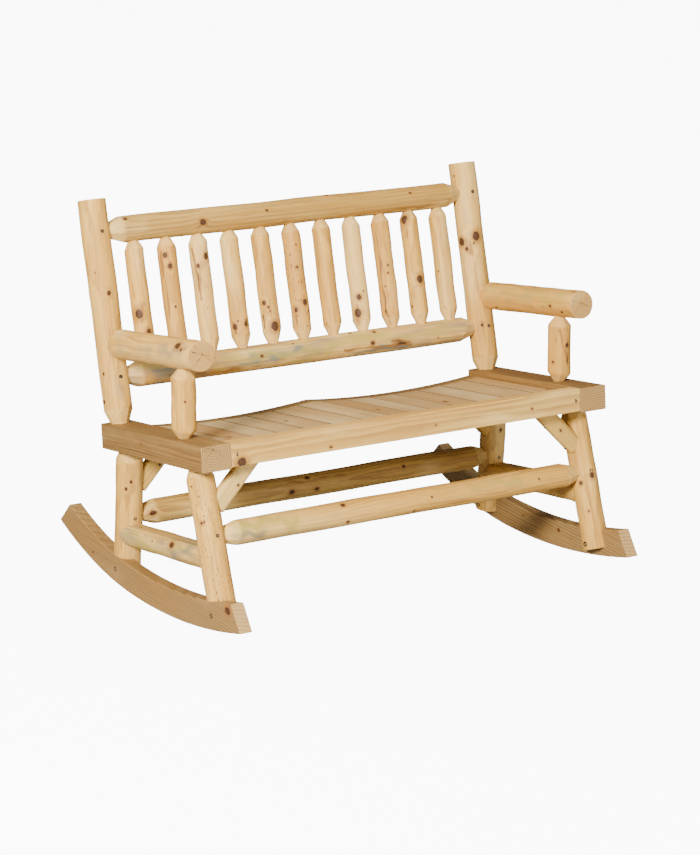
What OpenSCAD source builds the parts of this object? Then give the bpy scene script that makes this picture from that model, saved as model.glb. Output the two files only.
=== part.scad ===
// Double rocking bench built of peeled logs and sawn rails.
// The origin is on the floor under the middle of the bench's box. The front faces -Y, and +Z is up.
// The seat frame, back, arms and legs are drawn in the seat's own level frame, which leans back as one.
// The rockers are drawn in the floor's frame, resting on their lowest point.

/* [Seat frame] */
// Width across the outer faces of the side rails
bench_w = 1144; // [1020:1:1250]
// Length of a side rail, front to back
seat_depth = 465; // [440:1:540]
// Height of the seat frame's top over the floor, at the middle of the side rails
seat_h = 419; // [405:1:440]
// Backward lean of the whole seat when the bench rests
seat_tilt = 9.7; // [8.5:0.1:11]
// Width of a side rail
side_rail_w = 78; // [76:1:90]
// Height of a side rail
side_rail_h = 60; // [60:1:70]
// Height of the front rail
front_rail_h = 56; // [54:1:58]
// Thickness of the front rail and the back rail
end_rail_t = 38; // [30:1:42]
// Width of the ledgers that carry the plank ends
ledger_w = 30; // [26:1:40]

/* [Seat planks] */
// Thickness of a plank
plank_t = 19; // [16:1:21]
// Width of the first plank, at the left
first_plank_w = 85; // [60:1:100]
// Width of the last plank, at the right
last_plank_w = 42; // [30:1:70]
// Gap between two planks
plank_gap = 1.6; // [1:0.1:4]
// Drop of the seat's middle ridge below the side rails
ridge_drop = 15; // [10:1:16]
// Depth of the two scoops below the ridge
scoop_depth = 13; // [8:1:14]

/* [Back] */
// Backward lean of the back against the seat
back_lean = 8.2; // [6:0.1:11]
// Distance from a side rail's back end to the middle of the post on it
post_inset = 25; // [24:1:27]
// Diameter of a back post
post_d = 68.5; // [65:0.5:71]
// Length of a back post over the side rail
post_l = 528; // [500:1:600]
// Distance of the post's middle from the side rail's middle line, outwards
post_out = 1; // [0:1:3]
// Diameter of the top back rail
top_rail_d = 64; // [60:1:66]
// Height of the top back rail's middle, along the back
top_rail_z = 451; // [430:1:480]
// Diameter of the lower back rail
lower_rail_d = 63; // [58:1:65]
// Height of the lower back rail's middle, along the back
lower_rail_z = 108; // [96:1:130]
// Number of spindles
spindle_count = 11; // [9:1:11]
// Spread of the row of spindles, as a share of the width between the posts
spindle_spread_share = 0.879; // [0.78:0.001:0.885]
// Diameter of a spindle
spindle_d = 47; // [40:1:49]

/* [Arms] */
// Diameter of an armrest
arm_d = 71; // [66:1:74]
// Height of an armrest's middle over the side rail at its front end
arm_z = 197; // [185:1:225]
// Rise of the armrest towards the front, against the seat
arm_rise = 1.2; // [0:0.1:3]
// Distance from the armrest's front end to the front of the seat
arm_setback = 38; // [20:1:60]
// Distance of the armrest's middle from the side rail's middle line, outwards
arm_out = 3; // [1:1:5]
// Diameter of an arm support
support_d = 58; // [52:1:60]
// Distance from the arm support's foot to the front of the seat
support_setback = 138; // [110:1:160]
// Forward lean of an arm support against the seat
support_lean = 4.7; // [0:0.1:6]

/* [Legs] */
// Diameter of a leg
leg_d = 66; // [63:1:68]
// Distance from the front leg's top to the front of the seat, under the side rail
front_leg_setback = 84; // [74:1:100]
// Distance from the back leg's top to the back of the seat, under the side rail
back_leg_setback = 62; // [58:1:66]
// Forward splay of a front leg against the seat
front_leg_splay = 13.2; // [12:0.1:14]
// Backward splay of a back leg against the seat
back_leg_splay = 9.1; // [8:0.1:10]
// Height of a leg's foot over the underside of the rocker
foot_clear = 18; // [12:1:24]
// Diameter of the front and back stretchers
stretcher_d = 60; // [56:1:62]
// Drop of the front stretcher's middle below the seat's top, as a share of the seat's height
front_stretcher_share = 0.516; // [0.49:0.002:0.536]
// Drop of the back stretcher's middle below the seat's top, as a share of the seat's height
back_stretcher_share = 0.526; // [0.5:0.002:0.538]
// Diameter of a side stretcher
side_stretcher_d = 61; // [58:1:63]
// Height of a side stretcher's middle over the floor, under the middle of the seat
side_stretcher_z = 155; // [150:1:163]
// Depth of the flat sawn on a side stretcher's top
side_stretcher_flat = 7; // [4:1:10]
// Width of a diagonal brace
brace_w = 44; // [40:1:46]
// Thickness of a diagonal brace
brace_t = 27; // [20:1:30]
// Height of a brace's foot over the front stretcher
brace_clear = 18; // [8:1:26]

/* [Rockers] */
// Thickness of a rocker
rocker_t = 33; // [30:1:36]
// Height of a rocker
rocker_h = 67; // [62:1:70]
// Distance of a rocker's outer face from the side rail's outer face, inwards
rocker_inset = 7; // [4:1:9]
// Radius of the rocker's underside ahead of its resting point
rocker_front_r = 1547; // [1440:1:1680]
// Radius of the rocker's underside behind its resting point
rocker_back_r = 990; // [920:1:1080]
// Distance from the resting point to the rocker's front tip
rocker_front_l = 478; // [455:1:500]
// Distance from the resting point to the rocker's back tip
rocker_back_l = 369; // [355:1:390]
// Distance from the resting point forward to the middle of the side rails
rest_back = 66; // [58:1:74]
// Slant of the rocker's cut ends
rocker_end_cut = 20; // [0:1:30]

/* [Joints] */
// Diameter of the posts' and legs' tenons
leg_tenon_d = 36; // [30:1:38]
// Length of the posts' and legs' tenons
leg_tenon_l = 26; // [20:1:30]
// Diameter of the back rails', stretchers' and armrests' tenons
rail_tenon_d = 32; // [28:1:34]
// Length of the back rails', stretchers' and armrests' tenons
rail_tenon_l = 42; // [38:1:46]
// Diameter of the spindles' and arm supports' tenons
spindle_tenon_d = 19; // [14:1:20]
// Length of the spindles' and arm supports' tenons
spindle_tenon_l = 15; // [10:1:18]
// Length of the taper at the ends of the back rails, stretchers and posts
taper_l = 34; // [26:1:44]
// Length of the taper at a leg's top
leg_taper_l = 26; // [20:1:36]
// Length of the taper at the ends of the spindles and arm supports and behind the armrests
spindle_taper_l = 25; // [18:1:36]
// Width of the neck that a taper leaves beyond its tenon
neck_w = 4; // [2:1:5]
// Radial clearance of a tenon in its mortise
fit_gap = 0.2; // [0.1:0.05:0.4]
// Gap between a piece and what it seats on
seat_gap = 0.3; // [0.2:0.05:0.5]

/* [Fasteners] */
// Diameter of a rocker bolt
bolt_d = 6; // [5:0.5:8]
// Diameter of a rocker bolt's head
bolt_head_d = 13; // [11:0.5:16]
// Height of a rocker bolt's head
bolt_head_h = 4; // [3:0.5:5]
// Diameter of the sleeve nut's barrel
nut_d = 9; // [8.5:0.5:10]
// Diameter of the sleeve nut's flange
nut_flange_d = 12; // [11:0.5:15]
// Thickness of the sleeve nut's flange
nut_flange_h = 2; // [1.5:0.5:3]
// Length of the sleeve nut
nut_l = 24; // [18:1:28]
// Diameter of a wood screw
screw_d = 4.5; // [3.5:0.5:5]
// Diameter of a wood screw's head
screw_head_d = 9; // [7:0.5:10]
// Height of a wood screw's head
screw_head_h = 3; // [2:0.5:4]
// Length of a tenon screw
tenon_screw_l = 45; // [40:1:50]
// Length of a toe screw
toe_screw_l = 50; // [45:1:55]
// Slant of a seat rail's toe screw
toe_screw_a = 45; // [40:1:50]
// Distance of a seat rail's toe screw from the side rail
rail_toe_inset = 17; // [14:1:20]
// Slant of a side stretcher's toe screw
side_toe_a = 55; // [52:1:58]
// Distance of a side stretcher's toe screw from the leg's middle
side_toe_inset = 54; // [52:1:58]
// Distance of a brace's upper screw from the brace's middle, outwards
brace_up_x = 3; // [1:0.5:5]
// Drop of a brace's lower screw below the side rail, as a share of the brace's reach
brace_out_share = 0.826; // [0.8:0.002:0.85]
// Length of a brace screw
brace_screw_l = 46; // [40:1:48]
// Length of an arm screw
arm_screw_l = 110; // [95:1:120]
// Length of a plank screw
plank_screw_l = 24; // [20:1:25]
// Wood left over a plank screw's tip
plank_screw_cover = 5; // [4:1:8]
// Radial clearance of a fastener in its hole
hole_gap = 0.15; // [0.1:0.05:0.3]

/* [Hidden] */
$fn = 96;

// Cuts run past the surface they open by this much
overrun = 5;
// Longest length that any cutting block has to cover
reach = 2 * bench_w;

// Middle lines of the side rails, posts, arms and legs, out from the middle of the bench
rail_x = bench_w / 2 - side_rail_w / 2;
post_x = rail_x + post_out;
arm_x = rail_x + arm_out;
support_x = rail_x + arm_out / 2;
rocker_x = bench_w / 2 - rocker_inset;
leg_x = rocker_x - rocker_t;

// Seat opening between the side rails, and the ends of the planks in it
clear_w = bench_w - 2 * side_rail_w;
front_y = -seat_depth / 2;
back_y = seat_depth / 2;
plank_front_y = front_y + end_rail_t + seat_gap;
plank_back_y = back_y - end_rail_t - seat_gap;

// The two scoops of the seat: each is a circle through the ridge, and both meet at the middle
scoop_span = clear_w / 2;
scoop_r = (pow(scoop_span / 2, 2) + pow(scoop_depth, 2)) / (2 * scoop_depth);
scoop_z = scoop_r - ridge_drop - scoop_depth;

// Planks between the wide first one and the narrow last one share what is left
plank_count = 14;
plank_w = (clear_w - 2 * seat_gap - first_plank_w - last_plank_w - (plank_count - 1) * plank_gap)
    / (plank_count - 2);

// Necks that the tapers leave at the ends of the logs
leg_neck_d = leg_tenon_d + 2 * neck_w;
rail_neck_d = rail_tenon_d + 2 * neck_w;
spindle_neck_d = spindle_tenon_d + 2 * neck_w;

// Back: the posts' foot line, and the ends of the rails and spindles between them
post_y = back_y - post_inset;
back_rail_half = post_x - post_d / 2 - seat_gap;
spindle_pitch = spindle_spread_share * 2 * back_rail_half / (spindle_count - 1);
spindle_bottom = lower_rail_z + lower_rail_d / 2 + seat_gap;
spindle_top = top_rail_z - top_rail_d / 2 - seat_gap;

// Places of the arms and their supports in the seat's frame
arm_front_y = front_y + arm_setback;
arm_to_post_a = back_lean - arm_rise;
arm_l = ((post_y - arm_front_y) * cos(back_lean) + arm_z * sin(back_lean) - post_d / 2)
    / cos(arm_to_post_a);
arm_back_y = arm_front_y + arm_l * cos(arm_rise);
arm_back_z = arm_z - arm_l * sin(arm_rise);
support_y = front_y + support_setback;
support_drop = (support_setback - arm_setback) * tan(arm_rise);
support_l = (arm_z - arm_d / 2 - support_drop) / cos(support_lean);

// Drops of the stretchers below the seat's top
front_stretcher_drop = front_stretcher_share * seat_h;
back_stretcher_drop = back_stretcher_share * seat_h;
side_stretcher_drop = seat_h - side_stretcher_z;

// Places of the legs' tops under the side rails, in the seat's frame
front_leg_y = front_y + front_leg_setback;
back_leg_y = back_y - back_leg_setback;

// Middle of a leg at a drop below the seat's top
function front_leg_at(drop) = front_leg_y - (drop - side_rail_h) * tan(front_leg_splay);
function back_leg_at(drop) = back_leg_y + (drop - side_rail_h) * tan(back_leg_splay);

// Braces stand under the ledgers, which end level with the side rails' underside
brace_front_y = front_y + end_rail_t + ledger_w / 2;
brace_back_y = back_y - end_rail_t - ledger_w / 2;
brace_slant = brace_w / sqrt(2);
brace_foot_drop = front_stretcher_drop - stretcher_d / 2 - brace_clear;
brace_reach = brace_foot_drop - side_rail_h - brace_slant + leg_d / 2;
brace_x = leg_x - brace_reach;
brace_out_drop = side_rail_h + brace_out_share * brace_reach;

// The box's middle lies halfway between the rocker's tips, so the resting point is off it
rest_y = (rocker_front_l - rocker_back_l) / 2;
seat_y = rest_y - rest_back;

// Angles of the rocker's tips, seen from the centres of its two arcs
front_tip_a = asin(rocker_front_l / rocker_front_r);
back_tip_a = asin(rocker_back_l / rocker_back_r);

// Turns a point of the seat's frame, given as [y, z], into the floor's frame
function to_floor(p) = [
    seat_y + p[0] * cos(seat_tilt) + p[1] * sin(seat_tilt),
    seat_h - p[0] * sin(seat_tilt) + p[1] * cos(seat_tilt)
];

// Distance along a line from point p in direction d to the far side of a circle, centre c, radius r
function to_circle(p, d, c, r) = let (v = p - c, b = v * d) -b + sqrt(b * b - v * v + r * r);

// A leg's line in the floor's frame, and how far down it the bolt and the foot's end lie
front_leg_top = to_floor([front_leg_y, -side_rail_h]);
back_leg_top = to_floor([back_leg_y, -side_rail_h]);
front_leg_dir = [-sin(front_leg_splay + seat_tilt), -cos(front_leg_splay + seat_tilt)];
back_leg_dir = [sin(back_leg_splay - seat_tilt), -cos(back_leg_splay - seat_tilt)];
front_arc = [rest_y, rocker_front_r];
back_arc = [rest_y, rocker_back_r];
front_leg_l = to_circle(front_leg_top, front_leg_dir, front_arc, rocker_front_r - foot_clear);
back_leg_l = to_circle(back_leg_top, back_leg_dir, back_arc, rocker_back_r - foot_clear);
front_bolt_l = to_circle(front_leg_top, front_leg_dir, front_arc, rocker_front_r - rocker_h / 2);
back_bolt_l = to_circle(back_leg_top, back_leg_dir, back_arc, rocker_back_r - rocker_h / 2);
front_bolt = front_leg_top + front_bolt_l * front_leg_dir;
back_bolt = back_leg_top + back_bolt_l * back_leg_dir;

// Rocker bolts run from a flat on the leg's foot to the nut's flange in the rocker's outer face
foot_flat_x = leg_x - leg_d / 2 + bolt_head_h;
bolt_l = rocker_x - foot_flat_x - nut_flange_h;

function two_digits(i) = i < 10 ? str("0", i) : str(i);

SIDES = ["left", "right"];

// Draws the right-hand piece, or its mirror image for the left
module on_side(name) {
    mirror([name == "left" ? 1 : 0, 0, 0]) children();
}

module both_sides() {
    for (name = SIDES) on_side(name) children();
}

// Puts what is drawn in the seat's level frame where it rests over the floor
module on_seat() {
    translate([0, seat_y, seat_h]) rotate([-seat_tilt, 0, 0]) children();
}

// Puts what is drawn along the back, with Z up the posts, in the seat's frame
module on_back() {
    translate([0, post_y, 0]) rotate([-back_lean, 0, 0]) children();
}

// Puts what is drawn up the right-hand post, leg or arm support in the seat's frame
module on_post() {
    on_back() translate([post_x, 0, 0]) children();
}

module on_support() {
    translate([support_x, support_y, 0]) rotate([support_lean, 0, 0]) children();
}

// Puts what is drawn along the right-hand arm in the seat's frame, with Z from the post to the arm's front end
module on_arm() {
    translate([arm_x, arm_back_y, arm_back_z]) rotate([90 - arm_rise, 0, 0]) children();
}

// Puts what is drawn down the right-hand leg, with Z from its top to its foot, in the seat's frame
module on_front_leg() {
    translate([leg_x, front_leg_y, -side_rail_h]) rotate([180 - front_leg_splay, 0, 0]) children();
}

module on_back_leg() {
    translate([leg_x, back_leg_y, -side_rail_h]) rotate([180 + back_leg_splay, 0, 0]) children();
}

// Puts what is drawn on a leg's front face, with Z out of the wood, where a stretcher meets the leg
module on_front_leg_face() {
    translate([leg_x, front_leg_at(front_stretcher_drop), -front_stretcher_drop])
        rotate([-front_leg_splay, 0, 0]) translate([0, -leg_d / 2, 0]) rotate([90, 0, 0]) children();
}

module on_back_leg_face() {
    translate([leg_x, back_leg_at(back_stretcher_drop), -back_stretcher_drop])
        rotate([back_leg_splay, 0, 0]) translate([0, -leg_d / 2, 0]) rotate([90, 0, 0]) children();
}

// Lays what is drawn along Z out along X
module along_x() {
    rotate([0, 90, 0]) children();
}

// Half spaces that trim a piece: above a height, and below it
module above(z) {
    translate([-reach, -reach, z]) cube([2 * reach, 2 * reach, reach]);
}

module below(z) {
    mirror([0, 0, 1]) above(-z);
}

// Turns an outline of [y, z] points into a body along X, from x0 outwards by l
module outline_along_x(x0, l) {
    translate([x0, 0, 0]) rotate([90, 0, 90]) linear_extrude(l) children();
}

// Turns an outline of [x, z] points into a body along Y, from y0 back by l
module outline_along_y(y0, l) {
    translate([0, y0 + l, 0]) rotate([90, 0, 0]) linear_extrude(l) children();
}

// A log along Z with a taper at its lower end, whose neck runs on below so that it can be trimmed
module tapered_log(d, neck_d, l, taper) {
    translate([0, 0, -2 * overrun]) cylinder(d = neck_d, h = 2 * overrun);
    cylinder(d1 = neck_d, d2 = d, h = taper);
    translate([0, 0, taper]) cylinder(d = d, h = l - taper);
}

// A log centred on its middle with both ends tapered and tenoned
module tenoned_log(d, neck_d, half_l, taper, tenon_d, tenon_l) {
    translate([0, 0, -half_l + taper]) cylinder(d = d, h = 2 * (half_l - taper));
    for (end = [0, 1]) mirror([0, 0, end]) {
        translate([0, 0, -half_l]) cylinder(d1 = neck_d, d2 = d, h = taper);
        translate([0, 0, -half_l - tenon_l]) cylinder(d = tenon_d, h = tenon_l + taper);
    }
}

// A tenon of a log whose shoulder is at z = 0, and its hole in a face at z = 0
module tenon(d, l) {
    translate([0, 0, -l]) cylinder(d = d, h = l + leg_taper_l / 2);
}

module mortise(d, l) {
    translate([0, 0, -l - seat_gap]) cylinder(d = d + 2 * fit_gap, h = l + seat_gap + overrun);
}

// A wood screw driven along -Z from a face at z = 0, its head let in flush, and its hole
module screw(l) {
    translate([0, 0, -screw_head_h]) cylinder(d = screw_head_d, h = screw_head_h);
    translate([0, 0, -l]) cylinder(d = screw_d, h = l - screw_head_h / 2);
}

module screw_hole(l, open = overrun) {
    translate([0, 0, -screw_head_h - hole_gap])
        cylinder(d = screw_head_d + 2 * hole_gap, h = screw_head_h + hole_gap + open);
    translate([0, 0, -l - hole_gap]) cylinder(d = screw_d + 2 * hole_gap, h = l);
}

// Places of the right-hand screws that pin the back rails' tenons in the post
module at_post_screws() {
    for (z = [top_rail_z, lower_rail_z])
        on_post() translate([0, -post_d / 2, z]) rotate([90, 0, 0]) children();
}

// Toe screws that run slantwise from the front and back rails' outer faces into the side rail
module at_rail_screws() {
    for (f = [-1, 1])
        translate([clear_w / 2 - rail_toe_inset, f * back_y, -front_rail_h / 2])
            rotate([0, 0, f * toe_screw_a]) rotate([-f * 90, 0, 0]) children();
}

// Toe screws that run slantwise up from the side stretcher's underside into the two legs
module at_front_toe_screw() {
    translate([leg_x, front_leg_at(side_stretcher_drop) + side_toe_inset,
        -side_stretcher_drop - side_stretcher_d / 2]) rotate([180 + side_toe_a, 0, 0]) children();
}

module at_back_toe_screw() {
    translate([leg_x, back_leg_at(side_stretcher_drop) - side_toe_inset,
        -side_stretcher_drop - side_stretcher_d / 2]) rotate([180 - side_toe_a, 0, 0]) children();
}

// Screws of a brace: one up into the ledger, and one out into the leg
module at_brace_screws(y) {
    translate([brace_x + brace_up_x, y, -side_rail_h - brace_up_x - brace_slant])
        rotate([180, 0, 0]) children();
    translate([brace_x + brace_out_drop - side_rail_h - brace_slant, y, -brace_out_drop])
        rotate([0, -90, 0]) children();
}

// Screw through the post into the armrest's tenon, driven from behind
module at_arm_screw() {
    on_arm() translate([0, 0, screw_head_h / 2 - post_d / cos(arm_to_post_a)])
        rotate([180, 0, 0]) children();
}

// Rocker bolts, in the floor's frame, with Z outwards through the rocker
module at_rocker_bolts() {
    for (p = [front_bolt, back_bolt]) translate([foot_flat_x, p[0], p[1]]) along_x() children();
}

// Half width and middle of a plank
function plank_half(i) = (i == 0 ? first_plank_w : i == plank_count - 1 ? last_plank_w : plank_w) / 2;
function plank_mid(i) = i == 0 ? -clear_w / 2 + seat_gap + first_plank_w / 2
    : plank_mid(i - 1) + plank_half(i - 1) + plank_gap + plank_half(i);

// Height of the seat's top surface at a place across it, in the seat's frame
function seat_z(x) = scoop_z - sqrt(pow(scoop_r, 2) - pow(abs(x) - scoop_span / 2, 2));

// Screws that hold both ends of a plank, driven up through the ledgers
module at_plank_screws(i) {
    for (y = [plank_front_y + ledger_w / 2, plank_back_y - ledger_w / 2])
        translate([plank_mid(i), y, seat_z(plank_mid(i)) - plank_screw_cover - plank_screw_l])
            rotate([180, 0, 0]) children();
}

// The air over the seat's two scoops, let down by a drop: what a scooped edge is cut with
module scoop_air(drop) {
    for (half = [-1, 1]) intersection() {
        translate([half * scoop_span / 2, scoop_z - drop]) circle(r = scoop_r, $fn = 360);
        translate([half > 0 ? 0 : -clear_w, -side_rail_h - overrun])
            square([clear_w, side_rail_h + 2 * overrun]);
    }
}

// Outline of one half of a rocker as [y, z], from the resting point to a tip, cut slantwise there
module rocker_arc(r, tip_a, way) {
    tip = [rest_y + way * r * sin(tip_a), r * (1 - cos(tip_a))];
    slant = [-way * sin(tip_a + rocker_end_cut), cos(tip_a + rocker_end_cut)];
    intersection() {
        difference() {
            translate([rest_y, r]) circle(r = r, $fn = 720);
            translate([rest_y, r]) circle(r = r - rocker_h, $fn = 720);
        }
        polygon([[rest_y, -rocker_h], tip - rocker_h * slant, tip + 2 * rocker_h * slant,
            [rest_y, 3 * rocker_h]]);
    }
}

module rocker(name) {
    color("burlywood") on_side(name) difference() {
        outline_along_x(leg_x, rocker_t) {
            rocker_arc(rocker_front_r, front_tip_a, -1);
            rocker_arc(rocker_back_r, back_tip_a, 1);
        }
        at_rocker_bolts() bolt_hole();
    }
}

// What the rocker takes from a leg: all that lies beyond its inner face and below its top edge
module rocker_seat(arc_r) {
    difference() {
        translate([leg_x - seat_gap, -reach, -reach]) cube([leg_d, 2 * reach, reach + arc_r]);
        translate([0, rest_y, arc_r]) along_x()
            cylinder(r = arc_r - rocker_h - seat_gap, h = reach, $fn = 720);
    }
    at_rocker_bolts() bolt_hole();
}

// What the stretchers, braces and screws take from a leg, in the seat's frame
module front_leg_cuts() {
    above(-side_rail_h - seat_gap);
    on_front_leg_face() screw_hole(tenon_screw_l);
    stretcher_mortise(front_leg_at(front_stretcher_drop), front_stretcher_drop);
    at_front_toe_screw() screw_hole(toe_screw_l);
    at_brace_screws(brace_front_y) screw_hole(brace_screw_l);
}

module back_leg_cuts() {
    above(-side_rail_h - seat_gap);
    on_back_leg_face() screw_hole(tenon_screw_l);
    stretcher_mortise(back_leg_at(back_stretcher_drop), back_stretcher_drop);
    at_back_toe_screw() screw_hole(toe_screw_l);
    at_brace_screws(brace_back_y) screw_hole(brace_screw_l);
}

// A stretcher's mortise, from the leg's inner face outwards
module stretcher_mortise(y, drop) {
    translate([leg_x - leg_d / 2, y, -drop]) rotate([0, -90, 0]) mortise(rail_tenon_d, rail_tenon_l);
}

module front_leg(name) {
    color("wheat") on_side(name) difference() {
        on_seat() {
            difference() {
                on_front_leg() tapered_log(leg_d, leg_neck_d, front_leg_l, leg_taper_l);
                front_leg_cuts();
            }
            on_front_leg() tenon(leg_tenon_d, leg_tenon_l);
        }
        rocker_seat(rocker_front_r);
    }
}

module back_leg(name) {
    color("wheat") on_side(name) difference() {
        on_seat() {
            difference() {
                on_back_leg() tapered_log(leg_d, leg_neck_d, back_leg_l, leg_taper_l);
                back_leg_cuts();
            }
            on_back_leg() tenon(leg_tenon_d, leg_tenon_l);
        }
        rocker_seat(rocker_back_r);
    }
}

// A stretcher between two legs, at a place front to back and a drop below the seat's top
module stretcher(y, drop) {
    translate([0, y, -drop]) along_x()
        tenoned_log(stretcher_d, rail_neck_d, leg_x - leg_d / 2 - seat_gap, taper_l, rail_tenon_d,
            rail_tenon_l);
}

module front_stretcher() {
    color("wheat") on_seat() difference() {
        stretcher(front_leg_at(front_stretcher_drop), front_stretcher_drop);
        both_sides() on_front_leg_face() screw_hole(tenon_screw_l);
    }
}

module back_stretcher() {
    color("wheat") on_seat() difference() {
        stretcher(back_leg_at(back_stretcher_drop), back_stretcher_drop);
        both_sides() on_back_leg_face() screw_hole(tenon_screw_l);
    }
}

// A side stretcher runs between the legs' middles, and both legs are cut out of it
module side_stretcher(name) {
    y0 = front_leg_at(side_stretcher_drop);
    y1 = back_leg_at(side_stretcher_drop);
    color("tan") on_side(name) on_seat() difference() {
        translate([leg_x, y0, -side_stretcher_drop]) rotate([-90, 0, 0])
            cylinder(d = side_stretcher_d, h = y1 - y0);
        above(side_stretcher_d / 2 - side_stretcher_flat - side_stretcher_drop);
        on_front_leg() cylinder(d = leg_d + 2 * seat_gap, h = front_leg_l);
        on_back_leg() cylinder(d = leg_d + 2 * seat_gap, h = back_leg_l);
        at_front_toe_screw() screw_hole(toe_screw_l);
        at_back_toe_screw() screw_hole(toe_screw_l);
    }
}

// A brace is a split log at 45 degrees, cut level under its ledger and short of its leg's middle
module brace(y) {
    difference() {
        translate([brace_x, y, -side_rail_h]) rotate([0, 135, 0]) intersection() {
            translate([0, 0, -brace_w]) cylinder(d = brace_w, h = 2 * brace_reach);
            translate([-brace_w, -brace_t / 2, -brace_w])
                cube([2 * brace_w, brace_t, brace_w + 2 * brace_reach]);
        }
        above(-side_rail_h - seat_gap);
        translate([leg_x - leg_d / 4, -reach, -reach]) cube([reach, 2 * reach, 2 * reach]);
        at_brace_screws(y) screw_hole(brace_screw_l);
    }
}

module front_brace(name) {
    color("wheat") on_side(name) on_seat() difference() {
        brace(brace_front_y);
        on_front_leg() cylinder(d = leg_d + 2 * seat_gap, h = front_leg_l);
    }
}

module back_brace(name) {
    color("wheat") on_side(name) on_seat() difference() {
        brace(brace_back_y);
        on_back_leg() cylinder(d = leg_d + 2 * seat_gap, h = back_leg_l);
    }
}

module side_rail(name) {
    color("tan") on_side(name) on_seat() difference() {
        translate([rail_x - side_rail_w / 2, front_y, -side_rail_h])
            cube([side_rail_w, seat_depth, side_rail_h]);
        on_post() mortise(leg_tenon_d, leg_tenon_l);
        on_support() mortise(spindle_tenon_d, spindle_tenon_l);
        on_front_leg() mortise(leg_tenon_d, leg_tenon_l);
        on_back_leg() mortise(leg_tenon_d, leg_tenon_l);
        at_rail_screws() screw_hole(toe_screw_l);
    }
}

// The front and back rails before their tops are shaped, at a place front to back
module end_rail(y0) {
    difference() {
        translate([-clear_w / 2 + seat_gap, y0, -front_rail_h])
            cube([clear_w - 2 * seat_gap, end_rail_t, front_rail_h]);
        both_sides() at_rail_screws() screw_hole(toe_screw_l);
    }
}

module front_rail() {
    color("burlywood") on_seat() end_rail(front_y);
}

module back_rail() {
    color("burlywood") on_seat() difference() {
        end_rail(back_y - end_rail_t);
        outline_along_y(back_y - end_rail_t - overrun, end_rail_t + 2 * overrun) scoop_air(0);
    }
}

// A ledger lies against its rail, and the planks' undersides are cut out of its top
module ledger(y0, brace_y) {
    difference() {
        translate([-clear_w / 2 + seat_gap, y0, -side_rail_h])
            cube([clear_w - 2 * seat_gap, ledger_w, side_rail_h]);
        outline_along_y(y0 - overrun, ledger_w + 2 * overrun) scoop_air(plank_t + seat_gap);
        for (i = [0 : plank_count - 1]) at_plank_screws(i) screw_hole(plank_screw_l, side_rail_h);
        both_sides() at_brace_screws(brace_y) screw_hole(brace_screw_l);
    }
}

module front_ledger() {
    color("tan") on_seat() ledger(plank_front_y, brace_front_y);
}

module back_ledger() {
    color("tan") on_seat() ledger(plank_back_y - ledger_w, brace_back_y);
}

module seat_plank(i) {
    color("tan") on_seat() difference() {
        outline_along_y(plank_front_y, plank_back_y - plank_front_y) intersection() {
            translate([plank_mid(i) - plank_half(i), -side_rail_h])
                square([2 * plank_half(i), side_rail_h]);
            difference() {
                scoop_air(plank_t);
                scoop_air(0);
            }
        }
        at_plank_screws(i) screw_hole(plank_screw_l);
    }
}

module back_post(name) {
    color("wheat") on_side(name) on_seat() {
        difference() {
            on_post() tapered_log(post_d, leg_neck_d, post_l, taper_l);
            below(seat_gap);
            for (z = [top_rail_z, lower_rail_z])
                on_post() translate([-post_d / 2, 0, z]) rotate([0, -90, 0])
                    mortise(rail_tenon_d, rail_tenon_l);
            on_arm() mortise(rail_tenon_d, rail_tenon_l);
            at_post_screws() screw_hole(tenon_screw_l);
            at_arm_screw() screw_hole(arm_screw_l);
        }
        on_post() tenon(leg_tenon_d, leg_tenon_l);
    }
}

// Place of a spindle across the back
function spindle_x(i) = (i - (spindle_count - 1) / 2) * spindle_pitch;

module top_back_rail() {
    color("tan") on_seat() difference() {
        on_back() translate([0, 0, top_rail_z]) along_x()
            tenoned_log(top_rail_d, rail_neck_d, back_rail_half, taper_l, rail_tenon_d, rail_tenon_l);
        for (i = [0 : spindle_count - 1])
            on_back() translate([spindle_x(i), 0, spindle_top]) mirror([0, 0, 1])
                mortise(spindle_tenon_d, spindle_tenon_l);
        both_sides() at_post_screws() screw_hole(tenon_screw_l);
    }
}

module lower_back_rail() {
    color("tan") on_seat() difference() {
        on_back() translate([0, 0, lower_rail_z]) along_x()
            tenoned_log(lower_rail_d, rail_neck_d, back_rail_half, taper_l, rail_tenon_d, rail_tenon_l);
        for (i = [0 : spindle_count - 1])
            on_back() translate([spindle_x(i), 0, spindle_bottom])
                mortise(spindle_tenon_d, spindle_tenon_l);
        both_sides() at_post_screws() screw_hole(tenon_screw_l);
    }
}

module spindle(i) {
    half_l = (spindle_top - spindle_bottom) / 2;
    color("wheat") on_seat() on_back() translate([spindle_x(i), 0, spindle_bottom + half_l])
        tenoned_log(spindle_d, spindle_neck_d, half_l, spindle_taper_l, spindle_tenon_d, spindle_tenon_l);
}

// An armrest's tapered neck is coped to the post, and its tenon runs into it
module armrest(name) {
    color("wheat") on_side(name) on_seat() difference() {
        union() {
            difference() {
                on_arm() tapered_log(arm_d, rail_neck_d, arm_l, spindle_taper_l);
                on_post() cylinder(d = post_d + 2 * seat_gap, h = post_l);
            }
            on_arm() translate([0, 0, -rail_tenon_l])
                cylinder(d = rail_tenon_d, h = rail_tenon_l + spindle_taper_l);
        }
        on_support() translate([0, 0, support_l]) mirror([0, 0, 1])
            mortise(spindle_tenon_d, spindle_tenon_l);
        at_arm_screw() screw_hole(arm_screw_l);
    }
}

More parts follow.
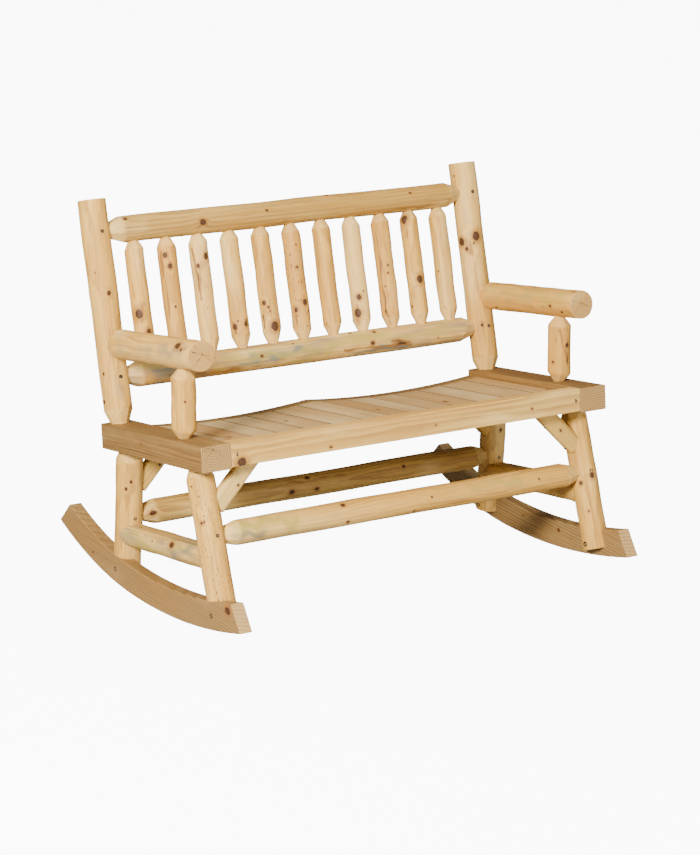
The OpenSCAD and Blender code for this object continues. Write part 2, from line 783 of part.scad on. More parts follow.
module arm_support(name) {
    half_l = support_l / 2;
    color("wheat") on_side(name) on_seat() {
        difference() {
            on_support() translate([0, 0, half_l]) for (end = [0, 1]) mirror([0, 0, end])
                translate([0, 0, -half_l])
                    tapered_log(support_d, spindle_neck_d, half_l, spindle_taper_l);
            on_arm() cylinder(d = arm_d + 2 * seat_gap, h = arm_l);
            below(seat_gap);
        }
        on_support() translate([0, 0, -spindle_tenon_l])
            cylinder(d = spindle_tenon_d, h = support_l + 2 * spindle_tenon_l);
    }
}

// A bolt from its head's underside at z = 0 outwards, and its sleeve nut at the far end
module bolt() {
    translate([0, 0, -bolt_head_h]) cylinder(d = bolt_head_d, h = bolt_head_h);
    translate([0, 0, -bolt_head_h / 2]) cylinder(d = bolt_d, h = bolt_l - bolt_head_h);
}

module nut() {
    translate([0, 0, bolt_l]) difference() {
        union() {
            cylinder(d = nut_flange_d, h = nut_flange_h);
            translate([0, 0, -nut_l]) cylinder(d = nut_d, h = nut_l + nut_flange_h / 2);
        }
        translate([0, 0, -nut_l - overrun]) cylinder(d = bolt_d + 2 * hole_gap, h = nut_l + overrun);
    }
}

// The hole of a bolt and its nut, with a flat seat for the head
module bolt_hole() {
    translate([0, 0, -bolt_head_h - overrun])
        cylinder(d = bolt_head_d + 2 * hole_gap, h = bolt_head_h + overrun - hole_gap);
    translate([0, 0, -overrun]) cylinder(d = bolt_d + 2 * hole_gap, h = bolt_l + overrun);
    translate([0, 0, bolt_l - nut_l - hole_gap]) cylinder(d = nut_d + 2 * hole_gap, h = nut_l + overrun);
    translate([0, 0, bolt_l - hole_gap])
        cylinder(d = nut_flange_d + 2 * hole_gap, h = nut_flange_h + hole_gap + overrun);
}

module rocker_bolts() {
    color("silver") both_sides() at_rocker_bolts() bolt();
}

module rocker_nuts() {
    color("silver") both_sides() at_rocker_bolts() nut();
}

module tenon_screws() {
    color("silver") both_sides() on_seat() {
        at_post_screws() screw(tenon_screw_l);
        on_front_leg_face() screw(tenon_screw_l);
        on_back_leg_face() screw(tenon_screw_l);
    }
}

module toe_screws() {
    color("silver") both_sides() on_seat() {
        at_rail_screws() screw(toe_screw_l);
        at_front_toe_screw() screw(toe_screw_l);
        at_back_toe_screw() screw(toe_screw_l);
    }
}

module brace_screws() {
    color("silver") both_sides() on_seat() {
        at_brace_screws(brace_front_y) screw(brace_screw_l);
        at_brace_screws(brace_back_y) screw(brace_screw_l);
    }
}

module arm_screws() {
    color("silver") both_sides() on_seat() at_arm_screw() screw(arm_screw_l);
}

module plank_screws() {
    color("silver") on_seat() for (i = [0 : plank_count - 1]) at_plank_screws(i) screw(plank_screw_l);
}

for (s = SIDES) {
    rocker(s);
    front_leg(s);
    back_leg(s);
    side_stretcher(s);
    front_brace(s);
    back_brace(s);
    side_rail(s);
    back_post(s);
    armrest(s);
    arm_support(s);
}
front_stretcher();
back_stretcher();
front_rail();
back_rail();
front_ledger();
back_ledger();
for (i = [1 : plank_count])
    seat_plank(i - 1);
top_back_rail();
lower_back_rail();
for (i = [1 : spindle_count])
    spindle(i - 1);
rocker_bolts();
rocker_nuts();
tenon_screws();
toe_screws();
brace_screws();
arm_screws();
plank_screws();
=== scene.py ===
import logging
import math
from dataclasses import dataclass, field
from enum import Enum
from typing import Callable, ClassVar, Sequence

import bpy
import numpy as np
from mathutils import Matrix


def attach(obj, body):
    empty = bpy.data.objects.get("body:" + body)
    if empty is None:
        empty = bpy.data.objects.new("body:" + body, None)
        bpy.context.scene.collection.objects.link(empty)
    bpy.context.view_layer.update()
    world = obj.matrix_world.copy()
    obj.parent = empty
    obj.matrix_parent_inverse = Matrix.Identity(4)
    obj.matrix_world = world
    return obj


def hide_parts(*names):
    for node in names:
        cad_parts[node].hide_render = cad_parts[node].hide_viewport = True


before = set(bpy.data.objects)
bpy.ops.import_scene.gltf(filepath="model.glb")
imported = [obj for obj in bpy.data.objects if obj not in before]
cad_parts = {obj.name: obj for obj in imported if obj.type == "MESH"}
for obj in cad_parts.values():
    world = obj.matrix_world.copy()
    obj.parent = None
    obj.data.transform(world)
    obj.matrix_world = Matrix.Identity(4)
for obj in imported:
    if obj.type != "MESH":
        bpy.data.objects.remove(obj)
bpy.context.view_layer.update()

MM = 0.001
# Where no knot shows, in radii of a knot from its middle
FAR = 4.0
# How far a fastener's head stands over the solid model's, in millimetres
LIFT = 0.5
# How far apart the pieces lie in the wood's coordinates, in millimetres, and how many such places exist
PIECE_SHIFT = 1000.0
PIECE_SHIFTS = 97
# Length of the soft edge of a knife-cut zone, in millimetres
ZONE_EDGE = 6.0
# Length of a tenon's part that stays hidden in its mate, in millimetres
HIDDEN = 8.0
# How deep under a board's face its knots start, in millimetres
KNOT_DEPTH = 60.0
LOG = logging.getLogger("rocking_bench")
logging.basicConfig(level=logging.INFO, format="%(name)s: %(message)s")

Colour = tuple[float, float, float]


# Places


@dataclass(frozen=True)
class Place:
    """A right-handed frame, in millimetres, inside the row frame."""

    origin: np.ndarray = field(default_factory=lambda: np.zeros(3))
    axes: np.ndarray = field(default_factory=lambda: np.eye(3))

    def moved(self, x: float, y: float, z: float) -> "Place":
        """Returns this frame moved along its own axes."""
        return Place(self.origin + self.axes @ np.array([x, y, z]), self.axes)

    def leaned(self, degrees: float) -> "Place":
        """Returns this frame turned about its own X axis.

        Args:
            degrees: The turn, by the right-hand rule.

        Returns:
            The turned frame.
        """
        c, s = math.cos(math.radians(degrees)), math.sin(math.radians(degrees))
        return Place(self.origin, self.axes @ np.array([[1, 0, 0], [0, c, -s], [0, s, c]]))

    def facing(self, along: Sequence[float], up: Sequence[float]) -> "Place":
        """Returns a frame at the same origin whose Z is along and whose Y is up.

        Args:
            along: Unit direction of the new Z, in this frame.
            up: Unit direction of the new Y, in this frame.

        Returns:
            The frame.
        """
        z, y = np.array(along, float), np.array(up, float)
        return Place(self.origin, self.axes @ np.stack([np.cross(y, z), y, z], axis=1))

    def points(self, local: np.ndarray) -> np.ndarray:
        """Returns local points, shaped (..., 3), in the row frame."""
        return self.origin + local @ self.axes.T


class Side(Enum):
    """The two sides of the bench, as signs along X."""

    LEFT = -1
    RIGHT = 1

    @property
    def label(self) -> str:
        """The word used in node names."""
        return self.name.lower()


@dataclass(frozen=True)
class Bench:
    """The driving sizes of the solid model, in millimetres and degrees."""

    width: float = 1144.0
    seat_depth: float = 465.0
    seat_height: float = 419.0
    seat_tilt: float = 9.7
    side_rail_w: float = 78.0
    side_rail_h: float = 60.0
    front_rail_h: float = 56.0
    end_rail_t: float = 38.0
    ledger_w: float = 30.0
    back_lean: float = 8.2
    post_inset: float = 25.0
    rocker_inset: float = 7.0
    rocker_t: float = 33.0
    rocker_h: float = 67.0
    rocker_front_r: float = 1547.0
    rocker_back_r: float = 990.0
    rocker_front_l: float = 478.0
    rocker_back_l: float = 369.0
    rest_back: float = 66.0
    leg_d: float = 66.0
    front_leg_setback: float = 84.0
    back_leg_setback: float = 62.0
    front_leg_splay: float = 13.2
    back_leg_splay: float = 9.1
    stretcher_d: float = 60.0
    front_stretcher_share: float = 0.516
    back_stretcher_share: float = 0.526
    side_stretcher_z: float = 155.0
    post_d: float = 68.5
    post_out: float = 1.0
    leg_taper: float = 26.0
    rail_taper: float = 34.0
    leg_neck: float = 44.0
    rail_neck: float = 40.0
    spindle_neck: float = 27.0
    seat_gap: float = 0.3

    @property
    def rail_x(self) -> float:
        """Middle line of a side rail."""
        return (self.width - self.side_rail_w) / 2

    @property
    def leg_x(self) -> float:
        """Middle line of a leg, which is the rocker's inner face."""
        return self.width / 2 - self.rocker_inset - self.rocker_t

    @property
    def clear_w(self) -> float:
        """Width of the seat between the side rails."""
        return self.width - 2 * self.side_rail_w

    @property
    def front_y(self) -> float:
        """Front of the seat in its own frame."""
        return -self.seat_depth / 2

    @property
    def back_y(self) -> float:
        """Back of the seat in its own frame."""
        return self.seat_depth / 2

    @property
    def rest_y(self) -> float:
        """Where the rockers touch the floor."""
        return (self.rocker_front_l - self.rocker_back_l) / 2

    @property
    def seat(self) -> Place:
        """The seat's own level frame."""
        return Place().moved(0, self.rest_y - self.rest_back, self.seat_height).leaned(-self.seat_tilt)

    @property
    def back(self) -> Place:
        """The frame of the back, with Z up the posts."""
        return self.seat.moved(0, self.back_y - self.post_inset, 0).leaned(-self.back_lean)

    def front_leg_y(self, drop: float) -> float:
        """Middle of a front leg in the seat's frame, at a drop below the seat's top."""
        run = (drop - self.side_rail_h) * math.tan(math.radians(self.front_leg_splay))
        return self.front_y + self.front_leg_setback - run

    def back_leg_y(self, drop: float) -> float:
        """Middle of a back leg in the seat's frame, at a drop below the seat's top."""
        run = (drop - self.side_rail_h) * math.tan(math.radians(self.back_leg_splay))
        return self.back_y - self.back_leg_setback + run

    def leg_place(self, side: Side, front: bool) -> Place:
        """The frame of a leg, with Z down it from the side rail's underside.

        Args:
            side: The side of the bench.
            front: Whether it is the front leg.

        Returns:
            The leg's frame.
        """
        x = side.value * self.leg_x
        if front:
            here = self.seat.moved(x, self.front_leg_y(self.side_rail_h), -self.side_rail_h)
            return here.leaned(180 - self.front_leg_splay)
        here = self.seat.moved(x, self.back_leg_y(self.side_rail_h), -self.side_rail_h)
        return here.leaned(180 + self.back_leg_splay)


BENCH = Bench()


@dataclass(frozen=True)
class PhotoCamera:
    """The pinhole camera fitted to the photograph, in its own frame, where the seat leans less.

    Angles are in degrees and lengths in millimetres; focal is in pixels of the photograph.
    """

    focal: float = 2876.163
    wide: float = 700.0
    high: float = 855.0
    sensor: float = 36.0
    yaw: float = 33.5
    pitch: float = 13.6788
    eye: tuple[float, float, float] = (-3717.993, -5586.534, 1995.245)
    seat_middle: tuple[float, float, float] = (0.0, -0.8, 420.95)
    seat_tilt: float = 4.6962

    @property
    def place(self) -> Place:
        """The camera's frame in the row frame, looking along its own -Z."""
        yaw, pitch = math.radians(self.yaw), math.radians(self.pitch)
        ahead = np.array([math.sin(yaw) * math.cos(pitch), math.cos(yaw) * math.cos(pitch), -math.sin(pitch)])
        right = np.array([math.cos(yaw), -math.sin(yaw), 0.0])
        turn = Place().leaned(-(BENCH.seat_tilt - self.seat_tilt)).axes
        eye = BENCH.seat.origin + turn @ (np.array(self.eye) - np.array(self.seat_middle))
        return Place(eye, turn @ np.stack([right, np.cross(right, ahead), -ahead], axis=1))

    def ray(self, spot: "Spot") -> np.ndarray:
        """Returns the unit direction from the eye to a spot of the photograph, in the row frame."""
        here = np.array([spot.x - self.wide / 2, self.high / 2 - spot.y, -self.focal])
        return self.place.axes @ (here / np.linalg.norm(here))

    def build(self) -> bpy.types.Object:
        """Makes the camera and sets it in the scene."""
        data = bpy.data.cameras.new("photo_camera")
        data.sensor_width = self.sensor
        data.lens = self.focal * self.sensor / self.high
        data.clip_start, data.clip_end = 0.1, 100.0
        data.dof.use_dof = False
        camera = bpy.data.objects.new("photo_camera", data)
        matrix = np.eye(4)
        matrix[:3, :3], matrix[:3, 3] = self.place.axes, self.place.origin * MM
        camera.matrix_world = Matrix(matrix.tolist())
        bpy.context.scene.collection.objects.link(camera)
        bpy.context.scene.camera = camera
        return camera


PHOTO = PhotoCamera()


@dataclass(frozen=True)
class Spot:
    """A place in the photograph, in pixels, and the size in millimetres of what is there."""

    x: float
    y: float
    size: float = 3.0

    def on_log(self, place: Place, radius: float) -> tuple[float, float]:
        """Returns the place along a log and the angle round it, in radians, that the spot shows.

        The ray o + t d meets |(x, y)| = radius in the log's frame; a ray that misses is taken at its
        nearest point.

        Args:
            place: The log's frame, with Z along it.
            radius: The log's radius.

        Returns:
            The place along the log and the angle.
        """
        o = (PHOTO.place.origin - place.origin) @ place.axes
        d = PHOTO.ray(self) @ place.axes
        a, b, c = d[:2] @ d[:2], o[:2] @ d[:2], o[:2] @ o[:2] - radius ** 2
        hit = o + d * (-b - math.sqrt(max(b * b - a * c, 0.0))) / a
        return float(hit[2]), math.atan2(hit[1], hit[0])

    def on_plane(self, place: Place, axis: int, level: float) -> np.ndarray:
        """Returns the point of a plane that the spot shows: o + t d, where one coordinate is level.

        Args:
            place: The plane's frame.
            axis: The axis that the plane is square to.
            level: The plane's place on that axis.

        Returns:
            The point, in the plane's frame.
        """
        o = (PHOTO.place.origin - place.origin) @ place.axes
        d = PHOTO.ray(self) @ place.axes
        return o + d * (level - o[axis]) / d[axis]


# Shader wiring


class Wire:
    """An output socket with arithmetic: each operator adds one Math node to the tree."""

    def __init__(self, net: "Net", socket: bpy.types.NodeSocket) -> None:
        """Keeps the socket and the node tree it belongs to."""
        self.net = net
        self.socket = socket

    def math(self, operation: str, *others: "Wire | float") -> "Wire":
        """Returns the result of one Math node.

        Args:
            operation: The node's operation.
            others: Its second and third values.

        Returns:
            The node's output.
        """
        values = dict(enumerate((self, *others)))
        made = self.net.node("ShaderNodeMath", {"operation": operation}, values)
        return Wire(self.net, made.outputs[0])

    def __add__(self, other: "Wire | float") -> "Wire":
        """Returns the sum."""
        return self.math("ADD", other)

    __radd__ = __add__

    def __sub__(self, other: "Wire | float") -> "Wire":
        """Returns the difference."""
        return self.math("SUBTRACT", other)

    def __rsub__(self, other: float) -> "Wire":
        """Returns a number less this value."""
        return (self * -1.0) + other

    def __mul__(self, other: "Wire | float") -> "Wire":
        """Returns the product."""
        return self.math("MULTIPLY", other)

    __rmul__ = __mul__

    def __truediv__(self, other: "Wire | float") -> "Wire":
        """Returns the quotient."""
        return self.math("DIVIDE", other)

    def fraction(self) -> "Wire":
        """Returns the part after the decimal point."""
        return self.math("FRACT")

    def root(self) -> "Wire":
        """Returns the square root."""
        return self.math("SQRT")

    def size(self) -> "Wire":
        """Returns the value without its sign."""
        return self.math("ABSOLUTE")

    def band(self, low: float, high: float) -> "Wire":
        """Returns 0 at low and 1 at high, with a smooth step between; low may be the larger one.

        Args:
            low: The value that gives 0.
            high: The value that gives 1.

        Returns:
            The step.
        """
        made = self.net.node(
            "ShaderNodeMapRange",
            {"interpolation_type": "SMOOTHSTEP"},
            {"Value": self, "From Min": low, "From Max": high, "To Min": 0.0, "To Max": 1.0},
        )
        return Wire(self.net, made.outputs["Result"])


class Net:
    """The node tree of one new material."""

    def __init__(self, name: str) -> None:
        """Makes a material with an empty node tree.

        Args:
            name: The material's name.
        """
        self.material = bpy.data.materials.new(name)
        self.material.use_nodes = True
        self.tree = self.material.node_tree
        self.tree.nodes.clear()

    def node(self, kind: str, settings: dict, values: dict) -> bpy.types.Node:
        """Adds any node: its settings first, then its sockets' values or links.

        Args:
            kind: The node's type name.
            settings: Attributes to set.
            values: Socket name or index to a value or a Wire.

        Returns:
            The node.
        """
        made = self.tree.nodes.new(kind)
        for key, value in settings.items():
            setattr(made, key, value)
        for key, value in values.items():
            socket = made.inputs[key]
            if isinstance(value, Wire):
                self.tree.links.new(value.socket, socket)
            else:
                socket.default_value = value
        return made

    def attribute(self, name: str) -> Wire:
        """Returns a vector attribute of the mesh."""
        return Wire(self, self.node("ShaderNodeAttribute", {"attribute_name": name}, {}).outputs["Vector"])

    def parts(self, vector: Wire) -> tuple[Wire, Wire, Wire]:
        """Returns the three components of a vector."""
        made = self.node("ShaderNodeSeparateXYZ", {}, {0: vector})
        return tuple(Wire(self, out) for out in made.outputs)

    def joined(self, x: Wire, y: Wire, z: Wire) -> Wire:
        """Returns a vector made of three components."""
        return Wire(self, self.node("ShaderNodeCombineXYZ", {}, {0: x, 1: y, 2: z}).outputs[0])

    def vector(self, operation: str, a: Wire, b: "Wire | Sequence[float]") -> Wire:
        """Returns the result of one Vector Math node."""
        made = self.node("ShaderNodeVectorMath", {"operation": operation}, {0: a, 1: b})
        return Wire(self, made.outputs["Vector"])

    def noise(self, at: Wire, scale: Sequence[float], detail: float = 2.0, rough: float = 0.5) -> Wire:
        """Returns fractal noise, 0 to 1, whose grain is as fine as scale says along each axis.

        Args:
            at: The point.
            scale: Turns per metre along each axis.
            detail: Number of finer layers.
            rough: Share of each finer layer.

        Returns:
            The noise.
        """
        point = self.vector("MULTIPLY", at, scale)
        values = {"Vector": point, "Scale": 1.0, "Detail": detail, "Roughness": rough}
        made = self.node("ShaderNodeTexNoise", {"noise_dimensions": "3D"}, values)
        return Wire(self, made.outputs["Fac"])

    def mix(self, a: "Wire | Colour", b: "Wire | Colour", share: "Wire | float") -> Wire:
        """Returns a colour mixed from two.

        Args:
            a: The first colour.
            b: The second colour.
            share: The share of the second.

        Returns:
            The mixed colour.
        """
        made = self.tree.nodes.new("ShaderNodeMix")
        made.data_type, made.clamp_factor = "RGBA", True
        sockets = {made.inputs[0]: share, made.inputs[6]: a, made.inputs[7]: b}
        for socket, value in sockets.items():
            if isinstance(value, Wire):
                self.tree.links.new(value.socket, socket)
            else:
                socket.default_value = (*value, 1.0) if isinstance(value, tuple) else value
        return Wire(self, made.outputs[2])

    def finish(self, values: dict) -> bpy.types.Material:
        """Adds the surface shader and returns the material.

        Args:
            values: Socket name to a value or a Wire.

        Returns:
            The material.
        """
        shader = self.node("ShaderNodeBsdfPrincipled", {}, values)
        out = self.node("ShaderNodeOutputMaterial", {}, {})
        self.tree.links.new(shader.outputs[0], out.inputs["Surface"])
        return self.material


# Finishes


@dataclass(frozen=True)
class Surface:
    """A finish, whose material is made when it is first asked for."""

    name: str

    def material(self) -> bpy.types.Material:
        """Returns the finish's material."""
        have = bpy.data.materials.get(self.name)
        return have if have is not None else self._made()

    def _made(self) -> bpy.types.Material:
        """Returns the material, newly made."""
        raise NotImplementedError


@dataclass(frozen=True)
class Grain:
    """The patterns that the parts of one wood finish share, as wires.

    Attributes:
        at: The wood's own coordinates, in metres, with Z along the grain and the pith at x = y = 0.
        rho: Distance from the pith.
        ring: Dark late wood of each growth ring.
        fibre: Fine fibres along the grain.
        streak: Streaks along the grain.
        patch: Broad patches.
        ripple: Small unevenness, about zero.
        mould: Cloudy shares of grey and green.
    """

    at: Wire
    rho: Wire
    ring: Wire
    fibre: Wire
    streak: Wire
    patch: Wire
    ripple: Wire
    mould: Wire

    @staticmethod
    def made(net: Net, ring_mm: float) -> "Grain":
        """Returns the patterns: rho = |(x, y)| with a slow wobble, and one ring a turn of its phase.

        Args:
            net: The material's node tree.
            ring_mm: Width of a growth ring.

        Returns:
            The patterns.
        """
        at = net.attribute("grain")
        x, y, _ = net.parts(at)
        wobble = net.noise(at, (14.0, 14.0, 2.2), 3.0) - 0.5
        ripple = net.noise(at, (60.0, 60.0, 7.0), 2.0) - 0.5
        rho = (x * x + y * y).root() + wobble * 0.014 + ripple * 0.0024
        phase = (rho / (ring_mm * MM)).fraction()
        return Grain(
            at=at,
            rho=rho,
            ring=phase.band(0.15, 0.93) * phase.band(1.0, 0.94),
            fibre=net.noise(at, (1300.0, 1300.0, 24.0), 2.0, 0.6),
            streak=net.noise(at, (240.0, 240.0, 3.0), 3.0, 0.6),
            patch=net.noise(at, (16.0, 16.0, 4.5), 2.0),
            ripple=ripple,
            mould=net.noise(at, (22.0, 22.0, 5.0), 3.0),
        )


@dataclass(frozen=True)
class Wood(Surface):
    """Solid softwood: growth rings round the pith, fibres, knots, stains and end grain."""

    early: Colour = (0.66, 0.36, 0.062)
    late: Colour = (0.27, 0.110, 0.017)
    warm: Colour = (0.54, 0.25, 0.040)
    pale: Colour = (0.82, 0.57, 0.20)
    heart: Colour = (0.024, 0.010, 0.005)
    end: Colour = (0.52, 0.29, 0.080)
    mould: Colour = (0.19, 0.165, 0.105)
    moss: Colour = (0.36, 0.275, 0.045)
    inner_bark: Colour = (0.26, 0.110, 0.022)
    dark_bark: Colour = (0.040, 0.017, 0.007)
    # Painted shade: the colour of the seat planks' narrow sides, standing in for the shadow in the gaps
    # between them
    painted_gap_shade: Colour = (0.050, 0.024, 0.010)
    knot_halo: Colour = (0.27, 0.105, 0.016)
    knot_core: Colour = (0.085, 0.030, 0.008)
    ring_mm: float = 3.2
    ring_depth: float = 0.65
    ring_even: float = 0.3
    streak: float = 0.65
    patch: float = 0.6
    tone: float = 0.45
    stain: float = 0.0
    speckle: float = 0.0
    roughness: float = 0.58
    end_rings: float = 0.65
    relief_mm: float = 0.4

    def _along(self, net: Net, grain: Grain) -> Wire:
        """Returns the colour of a face along the grain.

        Patches are broad, and the tone differs from piece to piece.

        Args:
            net: The material's node tree.
            grain: The wood's patterns.

        Returns:
            The colour.
        """
        sheen = net.noise(grain.at, (55.0, 55.0, 3.0), 2.0)
        tone = net.noise(grain.at, (3.0, 3.0, 0.83), 0.0)
        shown = sheen.band(0.25, 0.75) * (1.0 - self.ring_even) + self.ring_even
        colour = net.mix(self.early, self.late, grain.ring * shown * self.ring_depth)
        colour = net.mix(colour, self.warm, grain.patch.band(0.48, 0.78) * self.patch)
        colour = net.mix(colour, self.pale, grain.patch.band(0.47, 0.22) * self.patch)
        colour = net.mix(colour, self.late, grain.streak.band(0.52, 0.74) * self.streak)
        colour = net.mix(colour, self.pale, grain.streak.band(0.44, 0.22) * self.streak * 0.7)
        colour = net.mix(colour, self.late, grain.fibre.band(0.48, 0.78) * 0.55)
        colour = net.mix(colour, self.warm, tone.band(0.50, 0.68) * self.tone)
        return net.mix(colour, self.pale, tone.band(0.50, 0.32) * self.tone)

    def _stained(self, net: Net, grain: Grain, colour: Wire) -> Wire:
        """Returns a colour with blue-grey and green-yellow stains, strips of inner bark and speckles.

        Args:
            net: The material's node tree.
            grain: The wood's patterns.
            colour: The clean wood's colour.

        Returns:
            The stained colour.
        """
        bark, blue, green = net.parts(net.attribute("stains"))
        mould, streak = grain.mould, grain.streak
        moss = net.noise(net.vector("ADD", grain.at, (3.1, 1.7, 0.9)), (30.0, 30.0, 8.0), 3.0)
        grey = mould.band(0.42, 0.60) * streak.band(0.35, 0.62) * self.stain + blue * mould.band(0.3, 0.6)
        colour = net.mix(colour, self.mould, grey * 0.85)
        mossy = moss.band(0.50, 0.70) * self.stain * 0.8 + green * mould * 1.4
        colour = net.mix(colour, self.moss, mossy)
        strip = bark * (streak * 0.9 + mould * 0.9) + grain.ripple * 1.6
        colour = net.mix(colour, self.inner_bark, strip.band(0.12, 0.60) * bark.band(0.05, 0.35) * 0.85)
        colour = net.mix(colour, self.dark_bark, strip.band(0.62, 1.05) * bark.band(0.45, 0.80) * 0.9)
        speck = net.noise(grain.at, (330.0, 330.0, 110.0), 0.0)
        return net.mix(colour, self.heart, speck.band(0.72, 0.77) * self.speckle)

    def _across(self, net: Net, grain: Grain) -> tuple[Wire, Wire]:
        """Returns the colour of end grain, with rings, rays, saw lines and drying cracks.

        Args:
            net: The material's node tree.
            grain: The wood's patterns.

        Returns:
            The colour, and the height of its saw lines and cracks.
        """
        x, y, z = net.parts(grain.at)
        rho = grain.rho
        turn = net.joined(x / rho, y / rho, z)
        crack = net.noise(turn, (2.6, 2.6, 0.0), 1.0, 0.4)
        gap = ((crack - 0.5).size() + rho * 0.35).band(0.017, 0.009)
        saw = net.noise(grain.at, (90.0, 900.0, 0.0), 2.0)
        rays = net.noise(turn, (34.0, 34.0, 0.0), 1.0)
        colour = net.mix(self.end, self.late, grain.ring * self.end_rings)
        colour = net.mix(colour, self.pale, rays.band(0.55, 0.8) * 0.35)
        colour = net.mix(colour, self.pale, grain.patch.band(0.55, 0.3) * 0.35 + saw.band(0.5, 0.75) * 0.25)
        colour = net.mix(colour, self.heart, rho.band(0.0030, 0.0012) * 0.7)
        return net.mix(colour, self.heart, gap * 0.75), saw * 0.8 - gap

    def _knotted(self, net: Net, grain: Grain, colour: Wire, knot: Wire) -> tuple[Wire, Wire]:
        """Returns a colour with knots: a soft halo, a dark core and a darker rim.

        Args:
            net: The material's node tree.
            grain: The wood's patterns.
            colour: The wood's colour without knots.
            knot: Distance from the nearest branch's middle, in its own radii.

        Returns:
            The colour, and the core's share.
        """
        edge = knot + (net.noise(grain.at, (170.0, 170.0, 170.0), 2.0) - 0.5) * 0.6
        halo = edge.band(3.3, 1.0)
        core = edge.band(1.08, 0.86)
        dark = edge.band(0.75, 0.10) * 0.4 + 0.25
        rim = edge.band(0.66, 0.92) * edge.band(1.3, 1.02)
        colour = net.mix(colour, self.knot_halo, halo * halo * 0.8)
        colour = net.mix(colour, net.mix(self.knot_core, self.heart, dark), core * 0.95)
        return net.mix(colour, self.heart, rim * 0.9), core

    def _made(self) -> bpy.types.Material:
        """Returns the material, newly made: faces, end grain, knife cuts, painted shade on the planks' narrow
        sides, knots and relief.
        """
        net = Net(self.name)
        grain = Grain.made(net, self.ring_mm)
        knot, end, cut = net.parts(net.attribute("marks"))
        across, relief = self._across(net, grain)
        colour = net.mix(self._stained(net, grain, self._along(net, grain)), across, end)
        colour = net.mix(colour, self.pale, cut * 0.30)
        # Painted shade: where the third mark falls below zero, the planks' narrow sides darken towards this
        # colour, standing in for the shadow in the gaps
        colour = net.mix(colour, self.painted_gap_shade, (0.0 - cut) * 0.85)
        colour, core = self._knotted(net, grain, colour, knot)
        height = grain.ring * 0.3 + grain.fibre * 0.5 + grain.streak * 0.5 + core * 0.7 + relief * end
        bump = net.node(
            "ShaderNodeBump",
            {},
            {"Strength": 0.7, "Distance": self.relief_mm * MM, "Height": height},
        )
        return net.finish(
            {
                "Base Color": colour,
                "Roughness": (grain.streak - 0.5) * 0.2 + end * 0.2 + self.roughness,
                "Normal": Wire(net, bump.outputs[0]),
                "IOR": 1.45,
                "Specular IOR Level": 0.3,
            }
        )


@dataclass(frozen=True)
class Steel(Surface):
    """Zinc-plated steel with fine scratches and dull patches."""

    bright: Colour = (0.070, 0.062, 0.052)
    dull: Colour = (0.028, 0.025, 0.021)
    roughness: float = 0.42
    metallic: float = 0.9

    def _made(self) -> bpy.types.Material:
        """Returns the material, newly made."""
        net = Net(self.name)
        at = Wire(net, net.node("ShaderNodeTexCoord", {}, {}).outputs["Object"])
        cloud = net.noise(at, (500.0, 500.0, 500.0), 3.0)
        scratch = net.noise(at, (4000.0, 700.0, 4000.0), 2.0)
        worn = cloud.band(0.45, 0.75) * 0.7 + scratch.band(0.55, 0.8) * 0.2
        colour = net.mix(self.bright, self.dull, worn)
        rough = cloud.band(0.4, 0.7) * 0.25 + self.roughness
        return net.finish({"Base Color": colour, "Metallic": self.metallic, "Roughness": rough})


@dataclass(frozen=True)
class Backdrop(Surface):
    """The pale studio floor, which glows only where the camera sees it."""

    colour: Colour = (0.30, 0.30, 0.30)
    mottle: float = 0.985
    glow: float = 10.0
    roughness: float = 0.8

    def _made(self) -> bpy.types.Material:
        """Returns the floor's material, newly made."""
        net = Net(self.name)
        at = Wire(net, net.node("ShaderNodeTexCoord", {}, {}).outputs["Object"])
        darker = tuple(part * self.mottle for part in self.colour)
        colour = net.mix(self.colour, darker, net.noise(at, (3.0, 3.0, 3.0), 4.0))
        seen = Wire(net, net.node("ShaderNodeLightPath", {}, {}).outputs["Is Camera Ray"])
        return net.finish(
            {
                "Base Color": colour,
                "Roughness": self.roughness,
                "Emission Color": net.mix((0.0, 0.0, 0.0), (1.0, 1.0, 1.0), seen),
                "Emission Strength": self.glow,
            }
        )


class Finish(Enum):
    """The finishes of the bench."""

    LOG = Wood("pale_log")
    LOG_STAINED = Wood("stained_log", early=(0.60, 0.36, 0.080), stain=0.85, patch=0.8, streak=0.95)
    LOG_SPECKLED = Wood("speckled_log", speckle=0.85)
    TAN_LOG = Wood(
        "tan_log",
        early=(0.50, 0.30, 0.066),
        late=(0.22, 0.095, 0.016),
        warm=(0.42, 0.205, 0.030),
        ring_mm=4.6,
        ring_depth=0.75,
        ring_even=0.45,
        patch=0.7,
    )
    SPLIT = Wood("split_wood", early=(0.60, 0.38, 0.075), ring_depth=0.4)
    SAWN_PALE = Wood("pale_board", early=(0.66, 0.40, 0.090), ring_mm=6.0, ring_depth=0.7, ring_even=0.45)
    SAWN_TAN = Wood(
        "tan_board",
        early=(0.24, 0.130, 0.034),
        late=(0.090, 0.038, 0.009),
        pale=(0.33, 0.19, 0.058),
        warm=(0.22, 0.10, 0.020),
        end=(0.44, 0.26, 0.085),
        ring_mm=5.6,
        ring_depth=0.75,
        ring_even=0.3,
        streak=0.95,
    )
    ROCKER = Wood(
        "rocker_board",
        early=(0.31, 0.185, 0.060),
        late=(0.120, 0.056, 0.015),
        pale=(0.41, 0.27, 0.105),
        warm=(0.29, 0.145, 0.035),
        end=(0.46, 0.28, 0.10),
        ring_mm=7.5,
        ring_depth=0.8,
        ring_even=0.7,
        streak=0.8,
        end_rings=0.4,
    )
    PLANK = Wood(
        "seat_board",
        early=(0.50, 0.325, 0.125),
        late=(0.22, 0.110, 0.030),
        warm=(0.40, 0.215, 0.064),
        pale=(0.58, 0.42, 0.19),
        ring_mm=5.0,
        ring_depth=0.75,
        ring_even=0.5,
        tone=0.85,
    )
    STEEL = Steel("zinc_steel")


# Swept solids


def wrapped(angle: np.ndarray | float) -> np.ndarray | float:
    """Returns an angle, in radians, brought between minus pi and pi."""
    return (angle + math.pi) % (2 * math.pi) - math.pi


